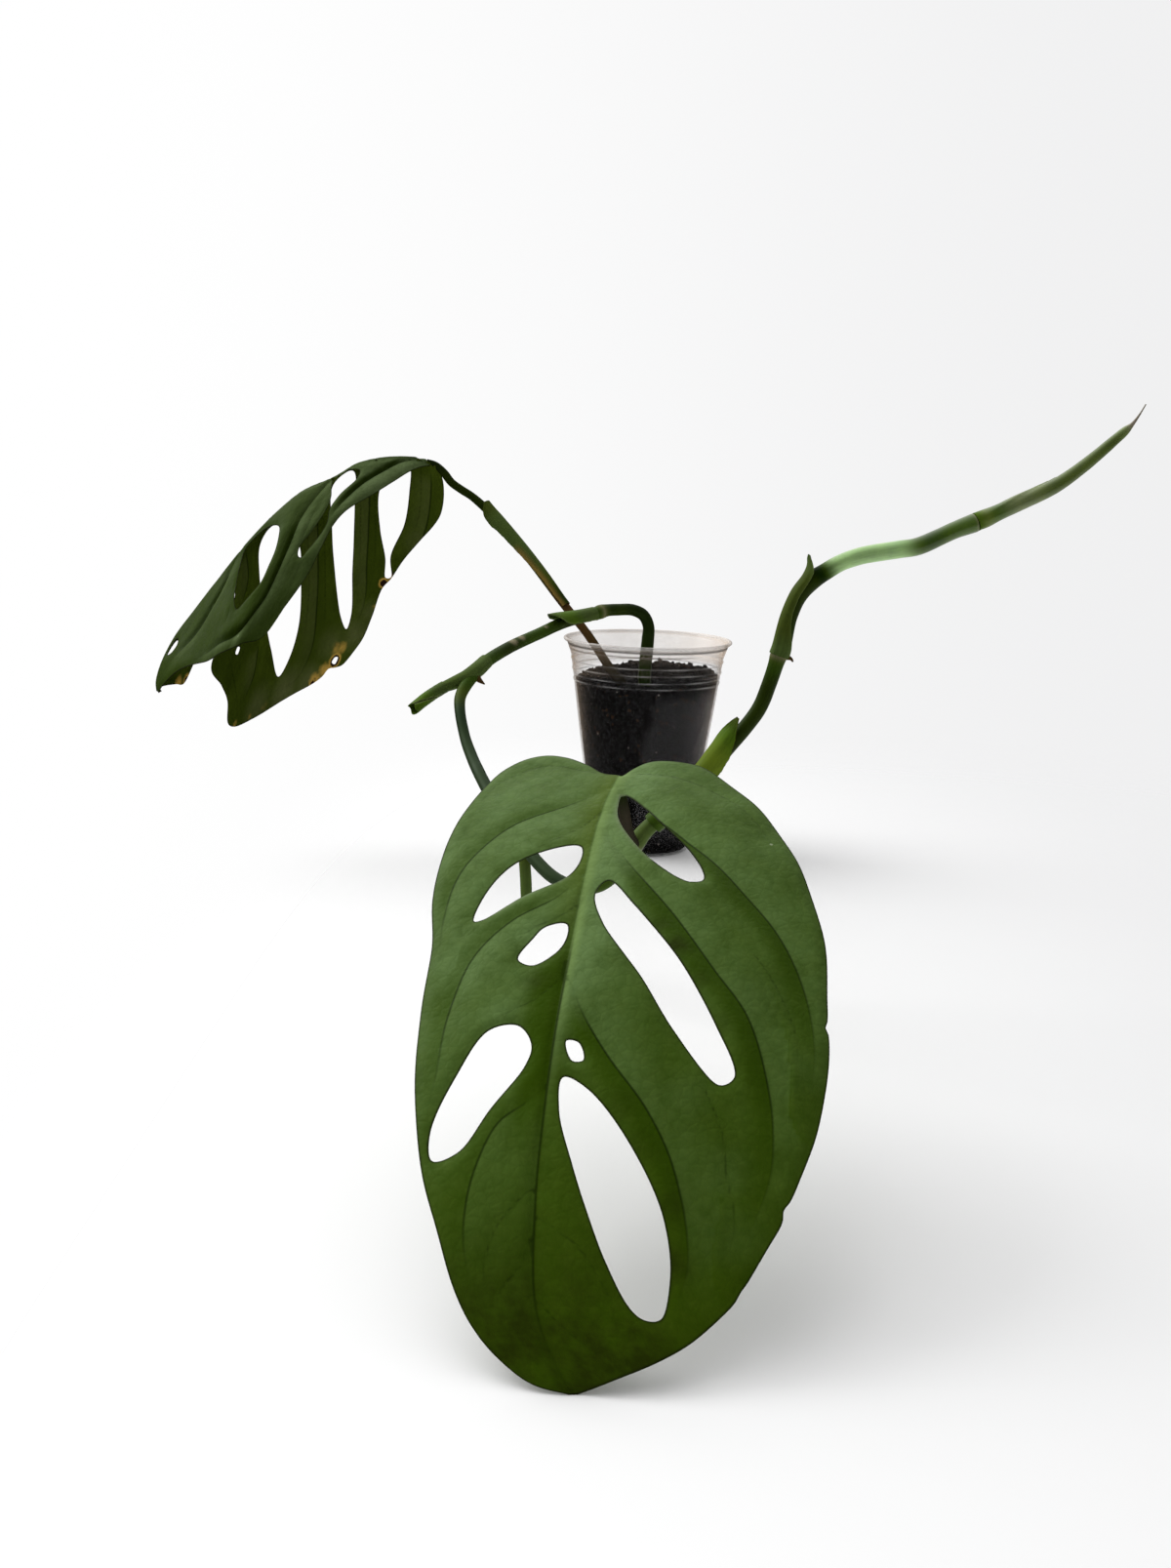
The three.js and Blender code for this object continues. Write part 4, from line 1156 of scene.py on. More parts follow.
NEW_LEAF = Stem(
    "new_leaf_roll", "new_growth", ("rolled_new_leaf",),
    [
        (122.5, -269.8, 203.7, 4.0, Tone.BRIGHT),
        (127, -269, 205.5, 4.0, Tone.YELLOW_GREEN),
        (131, -269, 207.5, 3.6, Tone.BRIGHT),
        # Painted highlight on the rolled leaf just past the node.
        (138, -268, 211, 3.6, Tone.PALE),
        *toned(
            Tone.ROLLED, (154, -266, 219, 3.3), (162, -264.5, 224.5, 3.0), (170, -263, 231, 2.7),
            (178, -261, 238, 2.35),
        ),
        (183, -260, 242.5, 1.9, Tone.PALE),
        *toned(Tone.PAPERY, (185.5, -259.5, 245, 1.0), (188, -259, 248.5, 0.6), (190.5, -259, 253.2, 0.35)),
    ],
    seam=0.5, twist=9.0, glossy_from=0,
)
BACK_STEM = Stem(
    "back_stem_skin", "vine", ("back_stem",),
    [
        *toned(
            Tone.STAINED_AND_SHADED, (-12, -12, 66, 2.8), (-14, -18, 86, 2.9), (-15, -22, 99, 2.9),
            (-20, -22, 105, 2.6),
        ),
        *toned(Tone.BROWN, (-34, -14, 124, 2.4), (-50, -4, 142, 2.4)),
        (-70.5, 8, 166, 2.4, Tone.OLIVE),
        *toned(Tone.GREEN, (-83, 14, 179, 2.4), (-94.5, 20, 191, 2.3)),
    ],
)
BACK_PETIOLE = Stem(
    "back_stalk", "petiole", ("back_petiole",),
    [
        *toned(
            Tone.DUSKY, (-93.5, 19.6, 189.8, 2.5), (-98.4, 20.8, 194, 2.4), (-103.8, 20.6, 198.2, 2.3),
            (-109.6, 20, 201.6, 2.3), (-115.2, 18.8, 205.6, 2.3), (-119.2, 17.8, 210.6, 2.3),
        ),
        *toned(Tone.SHADED, (-124, 16.2, 215.0, 1.9), (-129, 15.0, 217.0, 1.3)),
    ],
    sides=24,
)
FRONT_PETIOLE = Stem(
    "front_stalk", "petiole", ("front_petiole",),
    [
        # Dust and painted shade where the stalk runs behind the leaf.
        *toned(Tone.STAINED_AND_SHADED, (-12, -279, 66, 2.8), (-15, -300, 76, 2.5), (-18, -340, 94, 2.2)),
        (-20.5, -378, 109.5, 2, Tone.SHADED),
        (-21, -398, 115.6, 1.9, Tone.GREEN),
        (-21, -405, 118.3, 1.8, Tone.BRIGHT),
    ],
    sides=24,
)
LEFT_STUB = Stem(
    "left_stub", "petiole", ("cut_petiole_left",),
    [
        *toned(
            Tone.LEAFY, (-84.5, -126.6, 121.8, 3.7), (-88.5, -135.4, 118.5, 3.9),
            (-93.5, -140.2, 115.1, 3.75), (-99.5, -142.2, 112.5, 3.2), (-104, -145.4, 110.8, 2.6),
            (-107, -148, 109.2, 2.0),
        ),
        *toned(Tone.BRIGHT, (-112.5, -154, 105.5, 2.0), (-115.6, -158, 103.1, 1.9)),
    ],
    sides=24, scars=[(-105.2, -146.5, 113.0, 1.3)],
)
LOW_STUB = Stem(
    "low_stub", "petiole", ("cut_petiole_low",),
    [
        (-59.5, -238, 54.5, 2.4, Tone.OLIVE),
        *toned(Tone.LEAFY, (-58, -241, 41, 2.6), (-57, -244, 24, 2.4)),
    ],
    sides=24,
)


@dataclass
class Sheath:
    """A thin sheath around part of a stem, open on one side and drawn out to a tip.

    Each station is x, y, z on the axis of the stem inside, the inner radius, half the angle covered, and the
    tone. Turn is how far the open side winds round along the run, in degrees, and jag how deep the far end is
    torn.
    """

    name: str
    slot: str
    nodes: tuple[str, ...]
    facing: tuple[float, float, float]
    stations: list[tuple[float, float, float, float, float, Tone]]
    columns: int = 44
    step: float = 0.8
    thickness: float = 0.5
    flare: float = 0.35
    ragged: float = 0.05
    ribs: float = 0.06
    margin_tone: Tone = Tone.BROWN
    margin_share: float = 0.07
    margin_until: float = 2.0
    turn: float = 0.0
    jag: float = 0.0

    def build(self, finish: Material) -> None:
        """Make the sheath.

        Args:
            finish: The material.
        """
        path = SmoothRoute([(*row[:5], *row[5].value) for row in self.stations]).sampled(self.step)
        places = path[:, :3]
        run = run_lengths(places)
        along = unit(np.gradient(places, run, axis=0))
        facing = np.array(self.facing)
        out = unit(facing - along * (along @ facing)[:, None])
        side = np.cross(along, out)
        across = np.linspace(-1.0, 1.0, self.columns + 1)
        edge = 1.0 - np.abs(across)
        share = (run / run[-1])[:, None]
        uneven = np.sin(run * 0.9 + 1) + 0.6 * np.sin(run * 2.3) + 0.4 * np.sin(run * 4.1)
        spread = np.radians(path[:, 4] * (1.0 + self.ragged * uneven))[:, None]
        angle = spread * across + math.radians(self.turn) * share
        torn = self.jag * np.cos(across * 9.0) * smooth((share - 0.7) / 0.3)
        lift = self.flare * (1.0 - smooth(edge / 0.18)) + self.ribs * np.cos(across * 60.0)
        radius = path[:, 3, None] + self.thickness / 2 + lift
        ring = out[:, None] * np.cos(angle)[..., None] + side[:, None] * np.sin(angle)[..., None]
        grid = places[:, None] + ring * radius[..., None] + along[:, None] * torn[..., None]
        half = self.thickness * (0.25 + 0.75 * smooth(edge / 0.1)) / 2
        depth = unit(np.cross(np.gradient(grid, axis=1), np.gradient(grid, axis=0))) * half[:, None]
        points = np.vstack([(grid + depth).reshape(-1, 3), (grid - depth).reshape(-1, 3)])
        passed = np.broadcast_to(run[:, None], angle.shape)
        skin = np.stack([angle * 3.0, np.zeros_like(angle), passed], axis=-1).reshape(-1, 3) * MM
        dried = (1.0 - smooth(edge / self.margin_share)) * (1.0 - smooth((share - self.margin_until) / 0.12))
        tone = np.clip(path[:, None, 5:], 0.0, 1.0)
        tone = (tone + (np.array(self.margin_tone.value) - tone) * (0.8 * dried)[..., None]).reshape(-1, 3)
        tone = np.vstack([tone, tone * 0.8])
        values = {
            "skin": np.vstack([skin, skin]),
            "tone": np.column_stack([tone, np.ones(len(tone))]),
            "ring": np.zeros(len(tone)),
        }
        piece = new_mesh_object(self.name, points, self.faces(len(places)), finish, values)
        keep_piece(piece, self.slot, *self.nodes)

    def faces(self, rows: int) -> Faces:
        """Return the faces of the outer skin, the inner skin and the closed edge."""
        wide = self.columns + 1
        count = rows * wide
        faces: Faces = []
        for i in range(rows - 1):
            for j in range(self.columns):
                a, b = i * wide + j, i * wide + j + 1
                c, d = b + wide, a + wide
                faces.append((a, b, c, d))
                faces.append((a + count, d + count, c + count, b + count))
        border = [*range(wide)]
        border += [i * wide + self.columns for i in range(1, rows)]
        border += [(rows - 1) * wide + j for j in range(self.columns - 1, -1, -1)]
        border += [i * wide for i in range(rows - 2, 0, -1)]
        faces.extend((a + count, b + count, b, a) for a, b in zip(border, border[1:] + border[:1]))
        return faces


ARCH_SHEATH = Sheath(
    "arch_sheath_skin", "sheath", ("arch_sheath",),
    facing=(0.1, 0.0, 1.0),
    stations=[
        *toned(Tone.LEAFY, (-31.5, -52.5, 139.7, 3.6, 125), (-38, -59.5, 138.6, 3.9, 115)),
        *toned(Tone.BRIGHT, (-44, -66.5, 137.4, 4.7, 98), (-49.5, -73, 136.1, 5.8, 74)),
        (-54.3, -79, 134.8, 6.6, 6, Tone.LEAFY),
    ],
    ragged=0.02, margin_tone=Tone.PALE,
)
RIGHT_SHEATH = Sheath(
    "right_sheath_skin", "sheath", ("right_sheath",),
    facing=(-0.6, -0.7, 0.4),
    stations=[
        (-4.5, -279, 75.6, 4.0, 140, Tone.GREEN),
        (4, -279, 84, 4.1, 125, Tone.BRIGHT),
        *toned(Tone.YELLOW_GREEN, (14, -279, 95, 4.6, 108), (22, -279, 105, 5.4, 80)),
        (28, -279, 113, 6.0, 42, Tone.BRIGHT),
        (32.5, -279, 119.5, 6.4, 5, Tone.OLIVE),
    ],
    ragged=0.02, margin_share=0.04,
)
UPPER_SHEATH = Sheath(
    "upper_sheath_skin", "sheath", ("upper_sheath",),
    facing=(-0.97, -0.22, 0.2),
    stations=[
        *toned(Tone.LEAFY, (44.3, -279, 147.8, 3.6, 172), (45.3, -279, 151, 3.6, 150)),
        *toned(
            Tone.OLIVE, (46.6, -279, 158, 3.45, 104), (48, -279, 164, 3.4, 84),
            (51.5, -279, 172.5, 3.6, 72), (56, -279, 178.5, 4.1, 60),
        ),
        *toned(Tone.LEAFY, (58.5, -279, 181.5, 5.6, 44), (60.5, -279, 184, 8.0, 6)),
    ],
    ragged=0.01, margin_tone=Tone.PALE, margin_share=0.06,
)
BACK_SHEATH = Sheath(
    "back_sheath_skin", "dry_sheath", ("back_sheath",),
    facing=(0.95, -0.28, 0.1),
    stations=[
        *toned(Tone.DUSKY, (-47.5, -5.6, 139.2, 2.6, 100), (-51, -3.5, 143, 2.8, 100)),
        (-60, 2, 154, 3.1, 104, Tone.OLIVE),
        *toned(Tone.LEAFY, (-71, 8, 166, 3.7, 112), (-83.3, 14, 179, 4.0, 126), (-89, 17, 184.5, 4.3, 136)),
        *toned(Tone.OLIVE, (-93.5, 19.2, 189.5, 3.9, 120), (-96.5, 20.8, 193.4, 3.5, 60)),
    ],
    flare=0.5, ragged=0.01, margin_tone=Tone.OCHRE, margin_share=0.6, margin_until=0.5,
)
STUB_SHELL = Sheath(
    "left_stub_shell", "petiole", (),
    facing=(0.0, 0.3, 1.0),
    stations=[
        *toned(Tone.LEAFY, (-103.5, -144.6, 111.0, 2.5, 176), (-108, -149, 108.5, 2.5, 176)),
        *toned(Tone.BRIGHT, (-112.5, -154, 105.5, 2.5, 176), (-117, -159.8, 102.0, 2.4, 172)),
    ],
    flare=0.15, ragged=0.01, margin_tone=Tone.PALE, margin_share=0.11, turn=150.0, jag=0.8,
)


# Leaves
class Posture(Enum):
    """How a blade hangs from its midrib."""

    ARCHED = "both halves open, the leaf arching forward"
    FOLDED = "the halves hang down on both sides of the midrib"


@dataclass
class Half:
    """One half of a blade: its margin from base to tip, its holes and its veins, as points u and v."""

    margin: Points
    holes: list[Points] = field(default_factory=list)
    veins: list[Points] = field(default_factory=list)
    faint_veins: list[Points] = field(default_factory=list)


FOLD_NEAR = unit(np.array([-0.29, -0.62, -0.73]))
FOLD_NEAR_TIP = unit(np.array([0.35, -0.85, -0.4]))
FOLD_FAR = unit(np.array([0.02, 0.06, -1.0]))
ACROSS = np.array([1.0, 0.0, 0.0])
DOWN = np.array([0.0, 0.0, -1.0])
FORWARD = np.array([0.0, -1.0, 0.0])


@dataclass
class SplitLeaf:
    """A leaf blade with slits and holes.

    A point of the blade is u, the way along the midrib, and v, the way across it, negative on the left half.
    A dry spot, a painted sheen, a smudge or a spot of painted shade is u, v, size and strength. A sheen band
    is the half it lies on (1 or -1), its strength, its reach across, and where its fading along the midrib
    starts and how long it takes.
    """

    name: str
    slot: str
    node: str
    posture: Posture
    length: float
    midrib: Points
    left: Half
    right: Half
    thickness: float = 0.5
    edge_thickness: float = 0.22
    spacing: float = 1.2
    puff: tuple[float, float] = (0.65, 1.7)
    puff_widths: tuple[float, float] = (7.5, 16.0)
    faint_puff: float = 0.3
    faint_widths: tuple[float, float] = (4.0, 8.0)
    rib_height: tuple[float, float] = (1.9, 0.5)
    rib_width: tuple[float, float] = (2.2, 0.8)
    rib_pale_until: float = 110.0
    wave: float = 0.3
    spots: Points = field(default_factory=list)
    # How far the painted tone reaches from the midrib's left side.
    unlit_band_reach: float = 14.0
    strip_from: float = 70.0
    strip_until: float = 400.0
    left_shade: float = 0.85
    # Bands and spots of painted sheen.
    sheen_bands: Points = field(default_factory=list)
    sheens: Points = field(default_factory=list)
    # Smudges and spots of painted shade, and how strong the tip's painted shade is.
    smudges_and_shade_spots: Points = field(default_factory=list)
    tip_shade: float = 0.0
    # Hole rims that get a painted highlight.
    pale_rims: list[Points] = field(default_factory=list)

    def __post_init__(self) -> None:
        """Measure the midrib and the free edges."""
        self.rib_route = MeasuredRoute(self.midrib)
        self.loops = [self.outline(), *self.hole_loops()]
        self.edges = [np.vstack([loop, loop[:1]]) for loop in self.loops]

    def flat(self, u: Array, v: Array) -> Array:
        """Return the places of blade points, without relief.

        Args:
            u: The way along the midrib.
            v: The way across.

        Returns:
            One place in millimetres for each point.
        """
        place, along = self.rib_route.at(u * self.rib_route.length / self.length)
        reach = np.abs(v)[:, None]
        left = (v < 0)[:, None]
        if self.posture is Posture.ARCHED:
            direction = np.where(left, -ACROSS, ACROSS)
            sag = -unit(np.cross(along, ACROSS))
            bend = np.where(left, 0.12 + 0.4 * smooth(u / 120.0)[:, None], 0.25)
            tilt = np.where(left, math.radians(3.0), math.radians(-5.0))
        else:
            turn = np.clip((u - 50.0) / 170.0, 0.0, 1.0)[:, None]
            near = unit(FOLD_NEAR + (FOLD_NEAR_TIP - FOLD_NEAR) * turn)
            direction = np.where(left, FOLD_FAR, near)
            sag = np.where(left, FORWARD, DOWN)
            bend = np.where(left, 0.1, 0.2)
            tilt = np.where(left, 0.0, math.radians(-6.0))
        bend = np.radians(bend)
        out = (np.sin(tilt + bend * reach) - np.sin(tilt)) / bend
        fall = (np.cos(tilt) - np.cos(tilt + bend * reach)) / bend
        return place + direction * out + sag * fall

    def outline(self) -> Array:
        """Return the closed outline of the blade."""
        left, right = (
            SmoothRoute([(0.0, 0.0), *half.margin, (self.length, 0.0)], axes=2).sampled(self.spacing * 0.8)
            for half in (self.left, self.right)
        )
        return np.vstack([left, right[-2:0:-1]])

    def hole_loops(self) -> list[Array]:
        """Return the closed outline of each hole."""
        holes = [*self.left.holes, *self.right.holes]
        return [SmoothRoute(hole, closed=True, axes=2).sampled(self.spacing * 0.7) for hole in holes]

    def vein_lines(self, faint: bool) -> list[Array]:
        """Return the main or the faint side veins as lines."""
        halves = (self.left, self.right)
        veins = [vein for half in halves for vein in (half.faint_veins if faint else half.veins)]
        return [SmoothRoute(vein, axes=2).sampled(self.spacing) for vein in veins]

    def rib_line(self) -> Array:
        """Return the midrib as a line."""
        count = round(self.length / self.spacing)
        u = np.linspace(0.0, self.length, count + 1)
        return np.column_stack([u, np.zeros_like(u)])

    def on_blade(self, points: Array) -> Array:
        """Tell which flat points lie on the blade and in none of its holes."""
        outline, *holes = self.loops
        result = inside_loop(points, outline)
        for hole in holes:
            result &= ~inside_loop(points, hole)
        return result

    def inner_points(self, lines: list[Array]) -> Array:
        """Return slightly uneven points that fill the blade.

        Args:
            lines: Lines that the points keep clear of.

        Returns:
            The points u and v.
        """
        rng = np.random.default_rng(SEED)
        low, high = self.loops[0].min(0), self.loops[0].max(0)
        rows = np.arange(low[1], high[1], self.spacing * 0.866)
        u, v = np.meshgrid(np.arange(low[0], high[0], self.spacing), rows)
        u = u + (np.arange(len(rows)) % 2)[:, None] * self.spacing / 2
        grid = np.column_stack([u.ravel(), v.ravel()])
        grid = grid + rng.uniform(-0.12, 0.12, grid.shape) * self.spacing
        grid = grid[self.on_blade(grid)]
        return grid[nearest_lines(grid, lines).distance > self.spacing * 0.55]

    def flat_mesh(self) -> tuple[Array, Array]:
        """Fill the blade's outline with small triangles that follow its veins.

        Returns:
            The points u and v, and the corners of each triangle.
        """
        lines = [*self.edges, self.rib_line(), *self.vein_lines(False)]
        points: list[Array] = []
        edges: list[tuple[int, int]] = []
        for number, line in enumerate(lines):
            closed = number < len(self.loops)
            first = sum(map(len, points))
            points.append(line[:-1] if closed else line)
            count = len(points[-1])
            edges.extend((first + i, first + (i + 1) % count) for i in range(count if closed else count - 1))
        everything = [Vector(point) for point in np.vstack([*points, self.inner_points(lines)])]
        verts, _, faces, *_ = delaunay_2d_cdt(everything, edges, [], 0, 1e-4)
        flat = np.array([tuple(vert) for vert in verts])
        corners = np.array([face for face in faces if len(face) == 3])
        corners = corners[self.on_blade(flat[corners].mean(1))]
        a, b, c = (flat[corners[:, k]] for k in range(3))
        area = (b[:, 0] - a[:, 0]) * (c[:, 1] - a[:, 1]) - (b[:, 1] - a[:, 1]) * (c[:, 0] - a[:, 0])
        corners[area < 0] = corners[area < 0][:, ::-1]
        corners = corners[np.abs(area) > 1e-6]
        used = np.unique(corners)
        order = np.full(len(flat), -1)
        order[used] = np.arange(len(used))
        return flat[used], order[corners]

    def relief(self, flat: Array, gaps: dict[str, Nearness]) -> Array:
        """Return how far the blade stands up from its plain form: puffed between veins, wavy at the margin.

        Args:
            flat: The blade points u and v.
            gaps: How the points lie to the main veins, the faint veins and the margin.

        Returns:
            A height in millimetres for each point.
        """
        u, v = flat.T
        rib = np.abs(v)
        beside_vein = gaps["vein"].valley(*self.puff_widths)
        beside_rib = Nearness(rib, -v, np.zeros(len(flat))).valley(*self.puff_widths)
        puff = between(self.puff, smooth((v + 4.0) / 8.0))
        main = puff * np.minimum(beside_vein, beside_rib)
        small = self.faint_puff * gaps["faint"].valley(*self.faint_widths)
        wave = np.sin(u * 0.11 + v * 0.16 + 1.0) * np.cos(v * 0.09 - u * 0.05)
        curl = -0.5 * (1.0 - smooth(gaps["edge"].distance / 3.5))
        return main + small + self.wave * wave * smooth(rib / 40.0) + curl - puff * 0.75

    def half_rib(self, u: Array) -> Array:
        """Return half the width of the midrib along the leaf."""
        return between(self.rib_width, np.clip(u / self.length, 0.0, 1.0))

    def rib_profile(self, flat: Array) -> tuple[Array, Array]:
        """Return how far the midrib stands out under and above the blade."""
        u, v = flat.T
        height = between(self.rib_height, np.clip(u / self.length, 0.0, 1.0))
        width = self.half_rib(u)
        across = np.sqrt(np.clip(1.0 - (v / (width * 1.3)) ** 2, 0.0, 1.0))
        end = smooth((self.length - u) / 20.0) * smooth((u + 3.0) / 4.0)
        pale = 1.0 - smooth(u / 110.0)
        above = bell(v, width) * (0.75 * pale - 0.35 * (1.0 - pale)) * smooth((u + 2.0) / 6.0)
        return height * across * end, above

    def build(self, finish: Material) -> None:
        """Make the blade.

        Args:
            finish: The material.
        """
        flat, corners = self.flat_mesh()
        gaps = {
            "edge": nearest_lines(flat, self.edges),
            "vein": nearest_lines(flat, self.vein_lines(False)),
            "faint": nearest_lines(flat, self.vein_lines(True)),
        }
        middle = self.flat(flat[:, 0], flat[:, 1])
        middle = middle + self.normals(middle, corners) * self.relief(flat, gaps)[:, None]
        normal = self.normals(middle, corners)
        half = between((self.edge_thickness, self.thickness), smooth(gaps["edge"].distance / 1.6)) / 2
        below, above = self.rib_profile(flat)
        top = middle + normal * (half + above)[:, None]
        bottom = middle - normal * (half + below)[:, None]
        top[:, 2] = np.maximum(top[:, 2], 0.3)
        bottom[:, 2] = np.maximum(bottom[:, 2], 0.02)
        count = len(flat)
        faces = [*corners.tolist(), *(corners[:, ::-1] + count).tolist(), *self.wall(corners, count)]
        values = {key: np.concatenate([data, data]) for key, data in self.values(flat, gaps).items()}
        values["under_side"] = np.repeat([0.0, 1.0], count)
        piece = new_mesh_object(self.name, np.vstack([top, bottom]), faces, finish, values)
        keep_piece(piece, self.slot, self.node)

    def values(self, flat: Array, gaps: dict[str, Nearness]) -> dict[str, Array]:
        """Return the named values that the leaf's finish reads, distances in millimetres.

        Args:
            flat: The blade points u and v.
            gaps: How the points lie to the main veins, the faint veins and the margin.

        Returns:
            One value for each point, by name.
        """
        u, v = flat.T
        vein = gaps["vein"]
        groove = smooth((u - self.strip_from) / 30.0) * (1.0 - 0.8 * smooth((u - self.length + 35.0) / 25.0))
        # The painted shade of the tip, weaker towards the right margin.
        tip = smooth((u - self.length + 55.0) / 44.0) * (1.0 - 0.8 * smooth((v - 24.0) / 18.0))
        # The band on the midrib's left side, turned from the light, that gets a painted yellow-green tone.
        unlit_band = (1.0 - smooth(np.abs(v) / self.unlit_band_reach)) * (1.0 - smooth((u - 40.0) / 90.0)) * (v < 0)
        start = smooth((vein.way - 0.08) / 0.15)
        rib = np.where(v < 0, -v / 0.4, v / 2.2) / self.half_rib(u)
        gap, power = self.line_marks(groove, v, gaps)
        return {
            "leaf_place": np.column_stack([flat * MM, np.zeros(len(flat))]),
            "vein_gap": gap,
            "vein_power": power,
            # Where the painted shade and the painted sheen fall beside the main veins.
            "side_gap": vein.distance,
            "side_way": np.where(vein.distance < 0.001, 0.0, vein.side),
            "side_power": vein.strength() * start * np.where(v > 0, 1.0, self.left_shade),
            # The strip of painted shade beside the midrib.
            "strip": groove * (1.0 - smooth((u - self.strip_until) / 28.0)),
            # Painted sheen on each half.
            "painted_sheen": self.painted_sheen(flat, 1),
            "painted_sheen_left": self.painted_sheen(flat, -1),
            # Smudges, spots of painted shade and the tip's painted shade.
            "smudge": np.clip(self.spread(flat, self.smudges_and_shade_spots) + self.tip_shade * tip, 0.0, 1.0),
            "rib_gap": np.clip(rib, 0.0, 3.0),
            "rib_tone": 0.88 * (1.0 - smooth(2.0 * u / self.rib_pale_until - 1.0)),
            "edge_gap": gaps["edge"].distance,
            "hole_rim_highlight": self.hole_rim_highlight(flat),
            "dry_spot": np.clip(self.spread(flat, self.spots), 0.0, 1.0),
            "unlit_rib_side": unlit_band,
        }

    def line_marks(self, groove: Array, v: Array, gaps: dict[str, Nearness]) -> tuple[Array, Array]:
        """Return the distance to the nearest drawn line, and how dark that line is.

        Args:
            groove: How dark the midrib's groove is.
            v: The way across.
            gaps: How the points lie to the veins.

        Returns:
            The distances and the strengths.
        """
        vein, faint = gaps["vein"], gaps["faint"]
        reaches = np.stack([vein.distance, faint.distance, np.abs(v)])
        main = 0.9 * vein.strength() * smooth((vein.way - 0.05) / 0.16) * np.where(v > 0, 1.0, 0.9)
        powers = np.stack([main, 0.5 * faint.strength(), 0.75 * groove])
        nearest = reaches.argmin(0)
        rows = np.arange(len(v))
        return reaches[nearest, rows], powers[nearest, rows]

    @staticmethod
    def spread(flat: Array, spots: Points) -> Array:
        """Return how strongly soft round spots cover each point."""
        total = np.zeros(len(flat))
        for u, v, size, peak in spots:
            gap = np.hypot(flat[:, 0] - u, flat[:, 1] - v)
            total = np.maximum(total, peak * (1.0 - smooth(gap / size)))
        return total

    def painted_sheen(self, flat: Array, half: int) -> Array:
        """Return how strong the painted sheen would be if every point lay on one half.

        Args:
            flat: The blade points u and v.
            half: 1 for the right half, -1 for the left.

        Returns:
            A share for each point.
        """
        u, v = flat.T
        total = self.spread(flat, self.sheens)
        for lies_on, share, reach, start, fade in self.sheen_bands:
            if lies_on == half:
                total = total + share * bell(v, reach) * (1.0 - smooth((u - start) / fade))
        return np.clip(total, 0.0, 1.0)

    def hole_rim_highlight(self, flat: Array) -> Array:
        """Return the painted highlight along the rims of some holes."""
        if not self.pale_rims:
            return np.zeros(len(flat))
        lines = [SmoothRoute(rim, axes=2).sampled(self.spacing) for rim in self.pale_rims]
        return 0.85 * bell(nearest_lines(flat, lines).distance, 0.8)

    @staticmethod
    def normals(points: Array, corners: Array) -> Array:
        """Return the upward normal at each point of a triangle mesh."""
        a, b, c = (points[corners[:, k]] for k in range(3))
        face = np.cross(b - a, c - a)
        total = np.zeros_like(points)
        for k in range(3):
            np.add.at(total, corners[:, k], face)
        return unit(total)

    @staticmethod
    def wall(corners: Array, count: int) -> Faces:
        """Return the faces that close the free edges, with the bottom points a count after the top ones."""
        seen = {}
        for a, b, c in corners.tolist():
            for pair in ((a, b), (b, c), (c, a)):
                key = (min(pair), max(pair))
                seen[key] = None if key in seen else pair
        return [(a + count, b + count, b, a) for a, b in filter(None, seen.values())]


